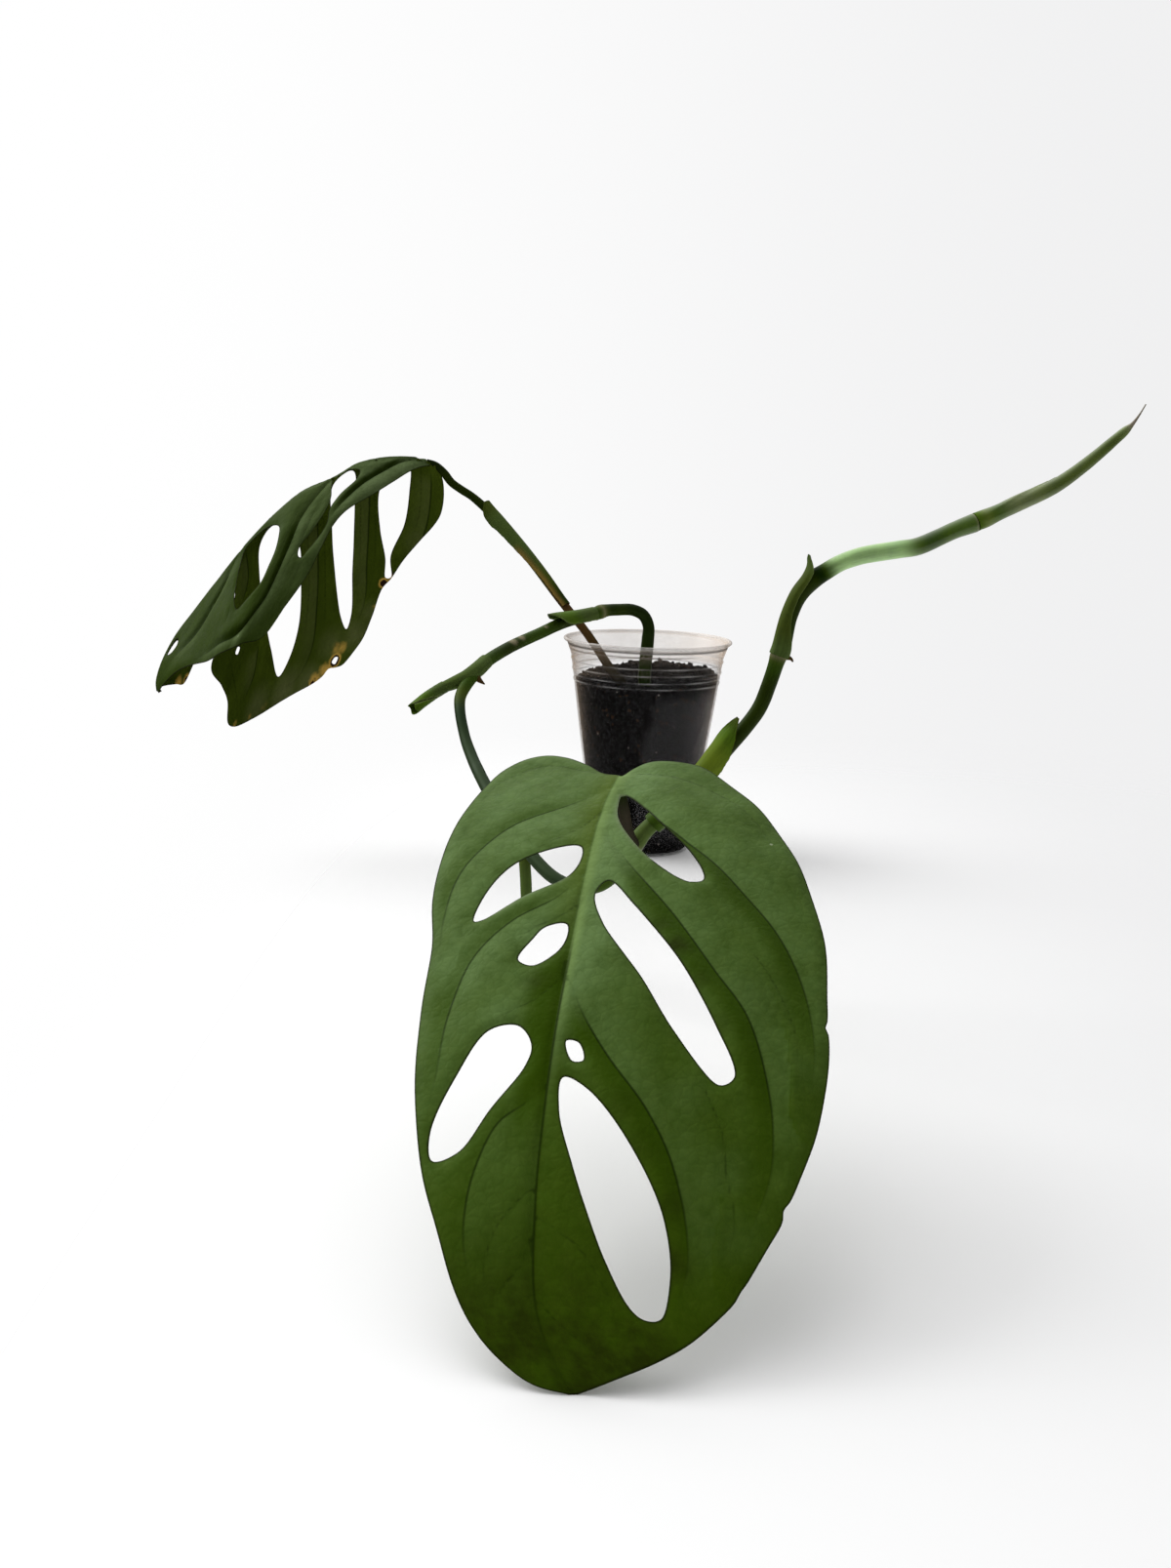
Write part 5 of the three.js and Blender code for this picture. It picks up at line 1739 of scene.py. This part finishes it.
FRONT_LEAF = SplitLeaf(
    "front_leaf_blade", "leaf", "front_leaf", Posture.ARCHED,
    length=230.0,
    midrib=[
        (-21, -404, 120.5), (-27, -432, 113), (-31, -460, 103), (-35, -490, 88), (-38.5, -515, 73),
        (-41, -538, 56), (-42.5, -561, 36), (-41, -580, 16), (-34, -590, 3.8), (-31, -592.5, 0.3),
    ],
    left=Half(
        margin=[
            (-1, -6), (-8, -13), (-15, -22), (-18, -30), (-16, -36), (-8, -42), (3, -45), (21, -47),
            (45, -49), (69, -48), (90, -44), (116, -42), (144, -38), (169, -32), (189, -25), (204, -20),
            (219, -14.5), (227, -8.5),
        ],
        holes=[
            [(50, -4), (50, -10), (57, -23), (69, -30), (82, -32), (82, -29), (74, -18), (66, -6), (58, -3)],
            [(87, -3), (88, -9), (93, -12), (101, -15), (104, -10), (99, -4), (92, -2)],
            [
                (133, -6), (126, -11), (127, -19), (141, -26), (158, -31), (167, -29), (165, -22),
                (153, -15), (140, -7),
            ],
        ],
        veins=[
            [(12, -1), (23, -11), (34, -27), (47, -36), (60, -41), (81, -42), (100, -39)],
            [(64, -1), (75, -7), (85, -20), (98, -29), (119, -32.5), (141, -32), (156, -33)],
            [(146, -1), (151, -5), (157, -12), (169, -16.5), (182, -18.5), (192, -18), (204, -15)],
        ],
        faint_veins=[
            [(2, -1), (-2, -12), (-8, -28), (2, -40), (25, -43.5)],
            [(30, -1), (39, -5), (45, -11), (54, -22)],
            [(102, -1), (110, -2), (117, -7), (121, -13), (125, -21)],
            [(79, -1), (84, -5), (89, -13), (98, -19)],
            [(176, -1), (180, -5), (187, -10), (197, -12.5), (207, -12)],
            [(189, -1), (196, -3), (202, -8), (210, -12)],
        ],
    ),
    right=Half(
        margin=[
            (-5, 3), (-9, 8), (-9, 16), (-6, 25), (2, 34), (14, 44), (28, 54), (44, 62), (60, 68), (86, 75),
            (109, 77), (117.5, 77.3), (119.8, 76.8), (122, 77.7), (135, 78), (155, 75), (170, 70),
            (176, 67.4), (178.5, 65.6), (182, 65.0), (189, 61), (198.5, 55), (201, 53.0), (204.5, 50.4),
            (214, 38), (220, 26.5), (226, 11),
        ],
        holes=[
            [
                (15, 4), (25, 13), (38, 22), (52, 31), (67, 36), (68, 32), (57, 19), (45, 11), (34, 6),
                (24, 4),
            ],
            [
                (73, 4), (68, 7), (79, 16), (103, 33), (125, 45), (141, 51), (144, 47), (127, 33), (109, 22),
                (87, 8),
            ],
            [(131, 3.5), (132, 7), (138, 9), (138, 6)],
            [
                (143, 4), (147, 11), (165, 25), (182, 33), (198, 35), (209, 31), (209, 26), (196, 19),
                (169, 9), (153, 4),
            ],
        ],
        veins=[
            [(10, 1), (18, 6), (44, 28), (66, 46), (87, 61), (108, 70), (130, 73.5), (150, 72)],
            [
                (41, 2), (60, 13), (82, 28.5), (104, 43), (120, 54), (141, 60.5), (156, 62.5), (171, 61.5),
                (195, 52),
            ],
            [(108, 1), (122, 7), (136, 15.5), (153, 28), (168, 35.5), (187, 39.5), (198, 39), (210, 33)],
        ],
        faint_veins=[
            [(0, 2), (5, 20), (17, 37), (32, 50), (54, 61)],
            [(96, 53), (108, 61), (122, 67), (139, 69)],
            [(146, 43), (159, 48.5), (171, 50), (182, 52), (194, 50)],
            [(184, 1), (191, 11), (200, 17), (209, 21)],
            [(205, 1), (212, 6), (219, 12)],
        ],
    ),
    rib_pale_until=165.0, strip_from=82.0, strip_until=142.0, left_shade=0.3,
    # Bands and spots of painted sheen.
    sheen_bands=[(1, 0.40, 300.0, 0.0, 215.0), (1, 0.80, 14.0, 88.0, 62.0), (-1, 0.55, 300.0, 40.0, 190.0)],
    sheens=[
        (92, -13, 10, 0.35), (100, -30, 16, 0.25), (148, 38, 10, 0.14), (170, 50, 12, 0.16),
        (136, 68, 12, 0.12), (66, 9, 10, 0.35), (123, -16, 9, 0.35), (186, 50, 14, 0.14),
    ],
    # Smudges beside the second right hole, then spots of painted shade beside the holes and veins.
    smudges_and_shade_spots=[
        (88, 24, 7, 0.6), (97, 30, 8, 0.7), (108, 37, 7, 0.5), (124, 45, 6, 0.3), (110, -8, 7, 0.4),
        (152, 20, 9, 0.3), (164, 28, 9, 0.4), (180, 34, 9, 0.5), (196, 35, 9, 0.5), (176, 36, 12, 0.25),
    ],
    tip_shade=0.75,
    # Hole rims that get a painted highlight.
    pale_rims=[
        [(81, -31.5), (79, -24), (74, -18), (66, -6)],
        [(15, 4), (24, 4), (34, 6), (45, 11), (57, 19)],
    ],
)

BACK_LEAF = SplitLeaf(
    "back_leaf_blade", "dark_leaf", "back_leaf", Posture.FOLDED,
    length=224.0,
    midrib=[
        (-124, 16, 215.5), (-132, 14, 218.5), (-152, 9, 218.5), (-168, 4, 214.5), (-180, 0, 207),
        (-196, -5, 199.5), (-209, -10, 188.5), (-224, -16, 172), (-238, -22, 153.5), (-252, -28, 134),
        (-263, -33, 118), (-270.5, -37, 101), (-271.5, -39, 93), (-269, -41, 88),
    ],
    left=Half(
        margin=[
            (-4, -6), (-5, -16), (-3, -27), (2, -36), (11, -48), (20, -59), (27, -69), (32, -74), (38, -89),
            (45, -102), (56, -109), (62, -108), (66, -107), (70, -110), (78, -112), (100, -108), (120, -102),
            (138, -93), (144, -86), (144, -74), (149, -61), (158, -43), (147, -33), (135, -20), (146, -15),
            (158, -20), (173, -29), (182, -33), (190, -27), (206, -14),
        ],
        holes=[
            [
                (16, -5), (16, -20), (19, -38), (27, -56), (27, -68), (30, -68), (30, -57), (33, -40),
                (33, -18), (26, -9),
            ],
            [
                (48, -4), (48, -24), (50, -60), (51, -84), (54, -90), (58, -81), (61, -60), (63, -30),
                (62, -5), (55, -2),
            ],
            [
                (95, -10), (106, -6), (113, -10), (114, -26), (112, -44), (106, -73), (100, -93), (92, -88),
                (85, -74), (83, -50), (84, -28),
            ],
            [(132, -53), (134, -51), (136, -53), (134, -55)],
            [(60, -103), (62, -102), (64, -104), (62, -106)],
            [(186, -6), (192, -4), (201, -5), (204, -11), (198, -15), (189, -14)],
        ],
        veins=[
            [(4, -1), (3, -10), (5, -32), (11, -50), (19, -60)],
            [(39, -1), (39, -19), (41, -55), (43, -81), (52, -97)],
            [(72, -1), (72, -44), (73, -68), (77, -93), (86, -103), (102, -100)],
            [(116, -62), (121, -78), (131, -86)],
            [(125, -1), (124, -22), (133, -34)],
        ],
        faint_veins=[
            [(9, -1), (10, -29), (15, -48)],
            [(36, -10), (36, -50), (38, -75)],
            [(44, -10), (45, -60)],
            [(68, -20), (68, -70), (70, -95)],
            [(78, -20), (78, -60), (82, -90)],
            [(140, -57), (136, -76), (134, -90)],
        ],
    ),
    right=Half(
        margin=[
            (11, 12), (17, 21), (25, 31), (36, 41), (40, 50), (41, 64), (42, 78), (48, 94), (56, 102),
            (68, 105), (89, 99), (108, 90), (127, 80), (151, 66), (174, 48), (192, 35), (207, 23), (218, 12),
        ],
        holes=[
            [
                (41, 9), (50, 4), (60, 3), (57, 13), (52, 25), (51, 38), (55, 47), (61, 52), (59, 60),
                (52, 65), (47, 57), (45, 47), (48, 35), (46, 26), (40, 17),
            ],
            [
                (88, 25), (101, 13), (114, 8), (122, 9), (123, 24), (123, 39), (119, 53), (112, 63),
                (101, 66), (86, 65), (83, 55), (83, 42),
            ],
            [(186, 10), (191, 6), (198, 7), (193, 13), (187, 14)],
        ],
        veins=[
            [(10, 1), (18, 4), (26, 12), (37, 25), (43, 38), (43.5, 50)],
            [(62, 1), (68, 16), (71, 28), (71, 45), (72, 65), (76, 81), (90, 88), (140, 66), (182, 41)],
            [(127, 1), (133, 6), (141, 20), (160, 26.5), (181, 25), (201, 19)],
        ],
        faint_veins=[
            [(62, 30), (62, 45), (66, 65), (68, 82)],
            [(76, 20), (77, 45), (79, 66)],
            [(150, 3), (167, 12), (188, 16.5), (207, 14)],
            [(126, 40), (124, 58), (128, 66)],
        ],
    ),
    puff=(0.8, 1.4), puff_widths=(8.0, 8.0), wave=0.5, spacing=1.3, rib_height=(1.2, 0.4),
    rib_width=(1.8, 0.8), rib_pale_until=60.0, strip_from=60.0,
    # Bands and spots of painted sheen.
    sheen_bands=[(1, 0.85, 90.0, 0.0, 122.0)],
    sheens=[
        (96, -106, 18, 0.8), (80, -110, 16, 0.7), (118, -98, 16, 0.6), (48, -96, 14, 0.55),
        (40, -86, 10, 0.4), (64, -94, 14, 0.4), (12, -50, 12, 0.2), (98, 90, 14, 0.3),
    ],
    spots=[
        (62, -104, 6.0, 1.7), (68, -107, 9, 0.74), (74, -110, 8, 0.72), (57, -99, 7, 0.6), (61, -98, 9, 0.5),
        (76, -112, 3.5, 1.2), (31, -71, 5, 1.3), (27, -68, 5, 0.55), (36, -84, 5, 0.4), (138, -92, 5, 0.5),
        (188, -29, 8, 0.8), (180, -33, 6, 1.0), (124, -98, 4, 0.5), (112, -101, 10, 0.3), (218, 2, 6, 0.4),
    ],
    unlit_band_reach=1.0,
)


# Cup and soil
def ring_of(radius: Array | float, angles: Array, height: Array | float) -> Points:
    """Return a ring of points at some angles."""
    return list(np.broadcast(radius * np.cos(angles), radius * np.sin(angles), height))


@dataclass
class ClearCup:
    """The clear cup, turned from one profile."""

    rim_radius: float = 48.0
    height: float = 122.0
    base_radius: float = 28.0
    taper: float = 0.138
    flare_start: float = 112.0
    wall: float = 0.6
    floor: float = 0.9
    ring_heights: tuple[float, ...] = (98.0, 104.0, 110.0)
    # Heights of the thin painted highlight lines.
    line_heights: tuple[float, ...] = (98.0, 101.2, 105.2, 109.2)
    ring_bulge: float = 0.4
    ring_half: float = 1.4
    segments: int = 192
    soil_line: float = 102.5
    grey_patch_top: float = 97.0
    # Heights of the painted shade lines under the lip.
    lip_lines: tuple[float, float] = (118.7, 115.8)

    def radius_at(self, z: float) -> float:
        """Return the outer radius at a height."""
        flare = max(z - self.flare_start, 0.0) / (self.height - self.flare_start)
        straight = self.base_radius + self.taper * min(z, self.flare_start)
        return straight + (self.rim_radius - 1.0 - straight) * flare

    def ripple(self, z: float) -> float:
        """Return how far the rings push the wall out at a height."""
        return sum(
            self.ring_bulge * math.cos(math.pi / 2 * (z - ring) / self.ring_half) ** 2
            for ring in self.ring_heights
            if abs(z - ring) < self.ring_half
        )

    def profile(self) -> Array:
        """Return the closed profile as radius and height, from the middle of the underside up and back."""
        b, r = self.base_radius, self.rim_radius
        low = [(0.0, 0.0), (10.0, 0.0), (20.0, 0.0), (b - 2.2, 0.0), (b - 0.9, 0.35), (b - 0.1, 1.3)]
        heights = [3, 6, *np.arange(12, 94, 6), *np.arange(95, 117, 0.4), 117.5, 118.5, 119.3]
        outer = [(self.radius_at(z) + self.ripple(z), float(z)) for z in heights]
        lip = [(r - 0.9, 119.9), (r - 0.25, 120.4), (r, 120.9), (r - 0.1, 121.5), (r - 0.6, 121.9)]
        lip += [(r - 1.2, 122.0), (r - 1.7, 121.7), (r - 1.9, 121.1)]
        inner = [(wide - self.wall, z) for wide, z in reversed(outer) if z >= 4]
        end = [(b - 1.0, 2.2), (b - 2.2, self.floor), (12.0, self.floor), (0.0, self.floor)]
        return np.array([*low, *outer, *lip, *inner, *end])

    def build(self, finish: Material) -> None:
        """Make the cup.

        Args:
            finish: The material.
        """
        start, *rows, end = self.profile()
        angles = np.arange(self.segments) * 2 * math.pi / self.segments
        rings = [place for r, z in rows for place in ring_of(r, angles, z)]
        places = np.array([(0.0, 0.0, start[1]), *rings, (0.0, 0.0, end[1])])
        faces = turned_faces(len(rows), self.segments)
        piece = new_mesh_object("cup_shell", places, faces, finish, self.values(places), sharp=70.0)
        keep_piece(piece, "clear_plastic", "clear_cup")

    def values(self, places: Array) -> dict[str, Array]:
        """Return where the wall has the grey patch, painted highlights, painted shade or nothing behind it.

        Args:
            places: The points of the cup.

        Returns:
            A share for each point, by name.
        """
        x, y, z = places.T
        # A lighter grey patch on the right front of the wall, below the soil line.
        border = np.interp(z, [0.0, 45.0, 92.0], [-7.0, -6.0, 3.0])
        wobble = 1.2 * np.sin(z * 0.21) + 0.8 * np.sin(z * 0.53 + 1.0)
        side = smooth((x - border + wobble) / 2.5) * smooth((-y - 4.0) / 10.0)
        grey_patch = side * smooth((self.grey_patch_top - z) / 6.0) * smooth((z - 5.0) / 8.0)
        # Painted highlights: a pale lip and thin ring lines that glint round the cup; the foot is paler too.
        rim = smooth((z - 119.7) / 0.4)
        ring = sum(bell(z - line, 0.33) for line in self.line_heights)
        foot = smooth((3.0 - z) / 2.5) * 0.35
        glint = 0.5 + 0.5 * np.sin(np.arctan2(y, x) * 9.0 + z * 0.4)
        pale = np.clip(rim * 0.6 + ring * (0.3 + 0.5 * glint) + foot, 0.0, 1.0)
        # Painted shade: dark lines under the front of the lip.
        upper, lower = (z - line for line in self.lip_lines)
        under_lip = bell(upper, 0.55) + 0.6 * bell(lower, 0.4) * smooth((32.0 - x) / 20.0)
        dark = np.clip(under_lip * (y < 6.0), 0.0, 1.0)
        # The beige veil paints the warm light seen through the upper wall; it is thinner in front of the soil
        # and thicker at the left front as painted shade.
        front = smooth((6.0 - y) / 34.0)
        behind_soil = front * (0.7 + 0.2 * (1.0 - smooth((z - 110.0) / 4.0)))
        veil = 1.05 - behind_soil + 0.2 * smooth((-x - 12.0) / 18.0) * front
        empty = smooth((z - self.soil_line - 0.05 * x) / 3.0) * veil
        return {"grey_patch": grey_patch, "pale": pale, "dark": dark, "empty": empty}


def crumb_tree() -> Tree:
    """Build the geometry nodes that scatter crumbs over the soil."""
    inputs = {
        "Geometry": ("Geometry", None),
        "Density": ("Float", 60000.0),
        "Smallest": ("Float", 0.35),
        "Largest": ("Float", 1.3),
        "Crumb radius": ("Float", 0.001),
        "Seed": ("Int", SEED),
        "Skin": ("Material", None),
    }
    tree, sheet, source = start_group("soil crumbs", "GeometryNodeTree", inputs, {"Geometry": "Geometry"})
    spread = sheet.add(
        "GeometryNodeDistributePointsOnFaces",
        {"Mesh": source["Geometry"], "Density": source["Density"], "Seed": source["Seed"]},
    ).outputs["Points"]
    ball = {"Radius": source["Crumb radius"], "Subdivisions": 2}
    crumb = sheet.add("GeometryNodeMeshIcoSphere", ball).outputs[0]
    bumps = sheet.noise(sheet.add("GeometryNodeInputPosition").outputs[0], 900.0, 1.0)["Color"]
    shift = sheet.scaled(sheet.vector("SUBTRACT", bumps, (0.5, 0.5, 0.5))[0], 0.0022)
    lumpy = sheet.add("GeometryNodeSetPosition", {"Geometry": crumb, "Offset": shift}).outputs[0]
    sizes = {2: source["Smallest"], 3: source["Largest"], "Seed": source["Seed"]}
    size = sheet.add("FunctionNodeRandomValue", sizes, data_type="FLOAT").outputs[1]
    turns = {0: (0.0, 0.0, 0.0), 1: (6.28, 6.28, 6.28), "Seed": source["Seed"]}
    squashes = {0: (0.6, 0.6, 0.4), 1: (1.2, 1.2, 0.9), "Seed": source["Seed"]}
    turn, squash = (
        sheet.add("FunctionNodeRandomValue", values, data_type="FLOAT_VECTOR").outputs[0]
        for values in (turns, squashes)
    )
    values = {
        "Points": spread,
        "Instance": lumpy,
        "Rotation": turn,
        "Scale": sheet.scaled(squash, size),
    }
    sheet.put_out(sheet.add("GeometryNodeInstanceOnPoints", values).outputs[0], source["Skin"])
    return tree


@dataclass
class PottingSoil:
    """The soil in the cup: a rough body and loose crumbs on top."""

    cup: ClearCup
    top: float = 100.5
    bottom: float = 1.6
    edge_level: float = 97.0
    gap: float = 0.5
    segments: int = 220
    rings: int = 46
    levels: int = 80
    crumb_segments: int = 48
    crumb_rings: int = 12
    crumb_density: float = 200000.0
    crumb_largest: float = 2.7

    def height_at(self, x: Array, y: Array) -> Array:
        """Return the height of the top, higher at the back and to the right."""
        lumps = 1.1 * np.sin(x * 0.31 + 1) * np.cos(y * 0.27) + 0.7 * np.sin(x * 0.55 + y * 0.43)
        grain = 0.6 * np.sin(x * 1.3 + 2) * np.sin(y * 1.1) + 0.4 * np.sin(x * 2.3 + y * 1.9)
        mound = 1.4 * np.exp(-((x - 10.0) ** 2 + (y - 12.0) ** 2) / 350.0)
        clods = 0.6 * np.sin(x * 0.93 + y * 0.71 + 2.0) * np.sin(y * 0.83 - x * 0.37)
        return self.top - 0.8 + 0.05 * x + 0.07 * y + lumps * 0.8 + clods + grain * 0.8 + mound

    def fit(self, z: float) -> float:
        """Return the radius of the soil at a height."""
        return self.cup.radius_at(z) - self.cup.wall - self.gap

    def centre(self) -> tuple[float, float, float]:
        """Return the middle of the top."""
        return 0.0, 0.0, float(self.height_at(np.zeros(1), np.zeros(1))[0])

    def body(self) -> Array:
        """Return the points of the soil body, from the bottom up and inwards over the top."""
        rng = np.random.default_rng(SEED)
        n = self.segments
        angles = np.arange(n) * 2 * math.pi / n
        width = self.fit(self.edge_level)
        points = [(0.0, 0.0, self.bottom)]
        edge_heights = self.height_at(width * np.cos(angles), width * np.sin(angles))
        for level in range(self.levels + 1):
            heights = self.bottom + (edge_heights - self.bottom) * (level / self.levels)
            radii = np.array([self.fit(max(z, 2.5)) for z in heights])
            if level == 0:
                radii = radii - 1.2
            radii = radii - rng.uniform(0.0, 0.9, n) ** 2
            points.extend(ring_of(radii, angles, heights))
        for ring in range(self.rings - 1, 0, -1):
            radius = width * ring / self.rings
            heights = self.height_at(radius * np.cos(angles), radius * np.sin(angles))
            points.extend(ring_of(radius, angles, heights + rng.uniform(-0.25, 0.25, n)))
        return np.array([*points, self.centre()])

    def crumbs(self, tree: Tree, finish: Material) -> Piece:
        """Scatter loose crumbs over the top.

        Args:
            tree: The geometry nodes that scatter crumbs.
            finish: The material.

        Returns:
            All crumbs as one piece.
        """
        n, rings = self.crumb_segments, self.crumb_rings
        angles = 2 * math.pi * np.arange(n) / n
        points = [self.centre()]
        for ring in range(1, rings + 1):
            radius = (self.fit(self.edge_level) - 1.6) * ring / rings
            heights = self.height_at(radius * np.cos(angles), radius * np.sin(angles))
            points.extend(ring_of(radius, angles, heights))
        faces: Faces = [(0, 1 + k, 1 + (k + 1) % n) for k in range(n)]
        for low in range(1, 1 + (rings - 1) * n, n):
            faces.extend((low + k, low + n + k, low + n + (k + 1) % n, low + (k + 1) % n) for k in range(n))
        carrier = new_mesh_object("crumb_ground", np.array(points), faces, finish)
        values = {"Density": self.crumb_density, "Largest": self.crumb_largest, "Seed": SEED, "Skin": finish}
        return apply_nodes(carrier, tree, values, "soil_crumbs")

    def build(self, tree: Tree, finish: Material) -> None:
        """Make the soil and its crumbs.

        Args:
            tree: The geometry nodes that scatter crumbs.
            finish: The material.
        """
        faces = turned_faces(self.levels + self.rings, self.segments)
        piece = new_mesh_object("soil_body", self.body(), faces, finish, sharp=180.0)
        keep_piece(piece, "soil", "potting_soil")
        keep_piece(self.crumbs(tree, finish), "soil")


# Stage
@dataclass
class Studio:
    """The floor, the light, the backdrop and the camera. Its places are in metres."""

    camera_place: tuple[float, float, float] = (-0.0329, -0.979, 0.2313)
    pitch: float = 11.28
    roll: float = 1.85
    lens: float = 39.5
    sensor: float = 36.0
    dome: float = 2.05
    fill: float = 0.13
    lamp_place: tuple[float, float, float] = (-1.4, 0.3, 1.2)
    lamp_target: tuple[float, float, float] = (-0.03, -0.3, 0.08)
    lamp_size: float = 1.2
    lamp_power: float = 16.0
    floor_left: Colour = (0.95, 0.95, 0.95)
    floor_right: Colour = (0.81, 0.81, 0.815)
    floor_middle: tuple[float, float, float] = (0.13, -0.40, 0.0)
    backdrop_left: Colour = (1.0, 1.0, 1.0)
    backdrop_right: Colour = (0.87, 0.87, 0.875)

    def floor(self) -> None:
        """Lay a pale floor that fades into the backdrop."""
        material, sheet, shader = start_material("studio floor")
        sheet.feed(shader.inputs["Roughness"], 0.9)
        sheet.feed(shader.inputs["Specular IOR Level"], 0.0)
        where = sheet.object_place()
        aside = sheet.split(where)[0]
        # Painted shade: the floor grows darker towards the right, away from the light.
        shaded = sheet.blend(sheet.remap(aside, -0.1, 0.35), self.floor_left, self.floor_right)
        sheet.feed(shader.inputs["Base Color"], shaded)
        far = sheet.vector("LENGTH", sheet.vector("SUBTRACT", where, self.floor_middle)[0])["Value"]
        seen = sheet.times(sheet.remap(far, 0.32, 0.85, 1.0, 0.0), sheet.remap(aside, -0.24, -0.05))
        sheet.feed(shader.inputs["Alpha"], seen)
        mesh = bpy.data.meshes.new("studio_floor")
        angles = [2 * math.pi * k / 96 for k in range(96)]
        corners = [(0.06 + math.cos(a), math.sin(a) - 0.38, 0.0) for a in angles]
        mesh.from_pydata(corners, [], [tuple(range(96))])
        mesh.materials.append(material)
        floor = linked("studio_floor", mesh)

    def light(self) -> None:
        """Hang a square soft light that points at the plant."""
        data = bpy.data.lights.new("key", "AREA")
        data.shape = "SQUARE"
        data.size = self.lamp_size
        data.energy = self.lamp_power
        lamp = linked("key", data)
        lamp.location = self.lamp_place
        aim = Vector(self.lamp_target) - Vector(self.lamp_place)
        lamp.rotation_euler = aim.to_track_quat("-Z", "Y").to_euler()

    def world(self) -> None:
        """Surround the scene with a pale backdrop, and light it from above and behind."""
        world = bpy.data.worlds.new("studio")
        world.use_nodes = True
        world.node_tree.nodes.clear()
        sheet = NodeSheet(world.node_tree)
        path = sheet.add("ShaderNodeLightPath").outputs["Is Camera Ray"]
        x, y, z = sheet.split(sheet.add("ShaderNodeTexCoord").outputs["Generated"])
        # Painted shade: the backdrop that the camera sees grows darker towards the right.
        seen = sheet.blend(sheet.remap(x, -0.28, 0.36), self.backdrop_left, self.backdrop_right)
        high = sheet.remap(z, 0.05, 0.7)
        behind = sheet.remap(y, -0.75, 0.35, 0.12, 1.0)
        from_left = sheet.remap(x, -0.45, 0.65, 1.0, 0.2)
        level = sheet.times_plus(sheet.times(high, behind, from_left), self.dome, self.fill)
        lit = sheet.add("ShaderNodeCombineColor", {0: level, 1: level, 2: level}).outputs[0]
        values = {"Color": sheet.blend(path, lit, seen), "Strength": 1.0}
        shader = sheet.add("ShaderNodeBackground", values)
        sheet.add("ShaderNodeOutputWorld", {"Surface": shader.outputs[0]})
        bpy.context.scene.world = world

    def camera(self) -> None:
        """Put the camera where the photograph was taken."""
        data = bpy.data.cameras.new("camera")
        data.lens = self.lens
        data.sensor_fit = "VERTICAL"
        data.sensor_height = self.sensor
        data.clip_start = 0.01
        camera = linked("camera", data)
        tilt = Matrix.Rotation(math.radians(90.0 - self.pitch), 4, "X")
        turn = Matrix.Rotation(math.radians(self.roll), 4, "Z")
        camera.matrix_world = Matrix.Translation(self.camera_place) @ tilt @ turn
        bpy.context.scene.camera = camera

    def build(self) -> None:
        """Set the stage."""
        self.camera()
        self.floor()
        self.world()
        self.light()
        bpy.context.scene.view_settings.view_transform = "Standard"


def write_sizes() -> None:
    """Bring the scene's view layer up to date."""
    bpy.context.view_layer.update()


def build_stems() -> None:
    """Build the stems, the stalks and the sheaths with their finishes."""
    skin = stem_tree()
    vine = StemFinish("vine skin").build()
    stalk = StemFinish("stalk skin", specular=0.03).build()
    dull = StemFinish("dull stalk skin", roughness=0.85, specular=0.0, streak_share=0.3).build()
    dry = StemFinish("dry stem skin", roughness=0.6, specular=0.03, streak_share=0.15).build()
    sheath = StemFinish("sheath skin", streak_share=0.35, roughness=0.45).build()
    for stem, finish in (
        (VINE, vine),
        (VINE_SPUR, vine),
        (VINE_NUB, vine),
        (NEW_LEAF, stalk),
        (BACK_STEM, dry),
        (BACK_PETIOLE, stalk),
        (FRONT_PETIOLE, dull),
        (LEFT_STUB, stalk),
        (LOW_STUB, stalk),
    ):
        stem.build(skin, finish)
    for part in (ARCH_SHEATH, RIGHT_SHEATH, UPPER_SHEATH, STUB_SHELL):
        part.build(sheath)
    BACK_SHEATH.build(dry)


def main() -> None:
    """Build the stage and each part of the plant."""
    logging.basicConfig(level=logging.INFO, format="%(name)s: %(message)s")
    Studio().build()
    cup = ClearCup()
    cup.build(PlasticFinish().build())
    PottingSoil(cup).build(crumb_tree(), SoilFinish().build())
    FRONT_LEAF.build(LeafFinish("front leaf").build())
    BACK_LEAF.build(DARK_LEAF.build())
    build_stems()
    write_sizes()


if __name__ == "__main__":
    main()
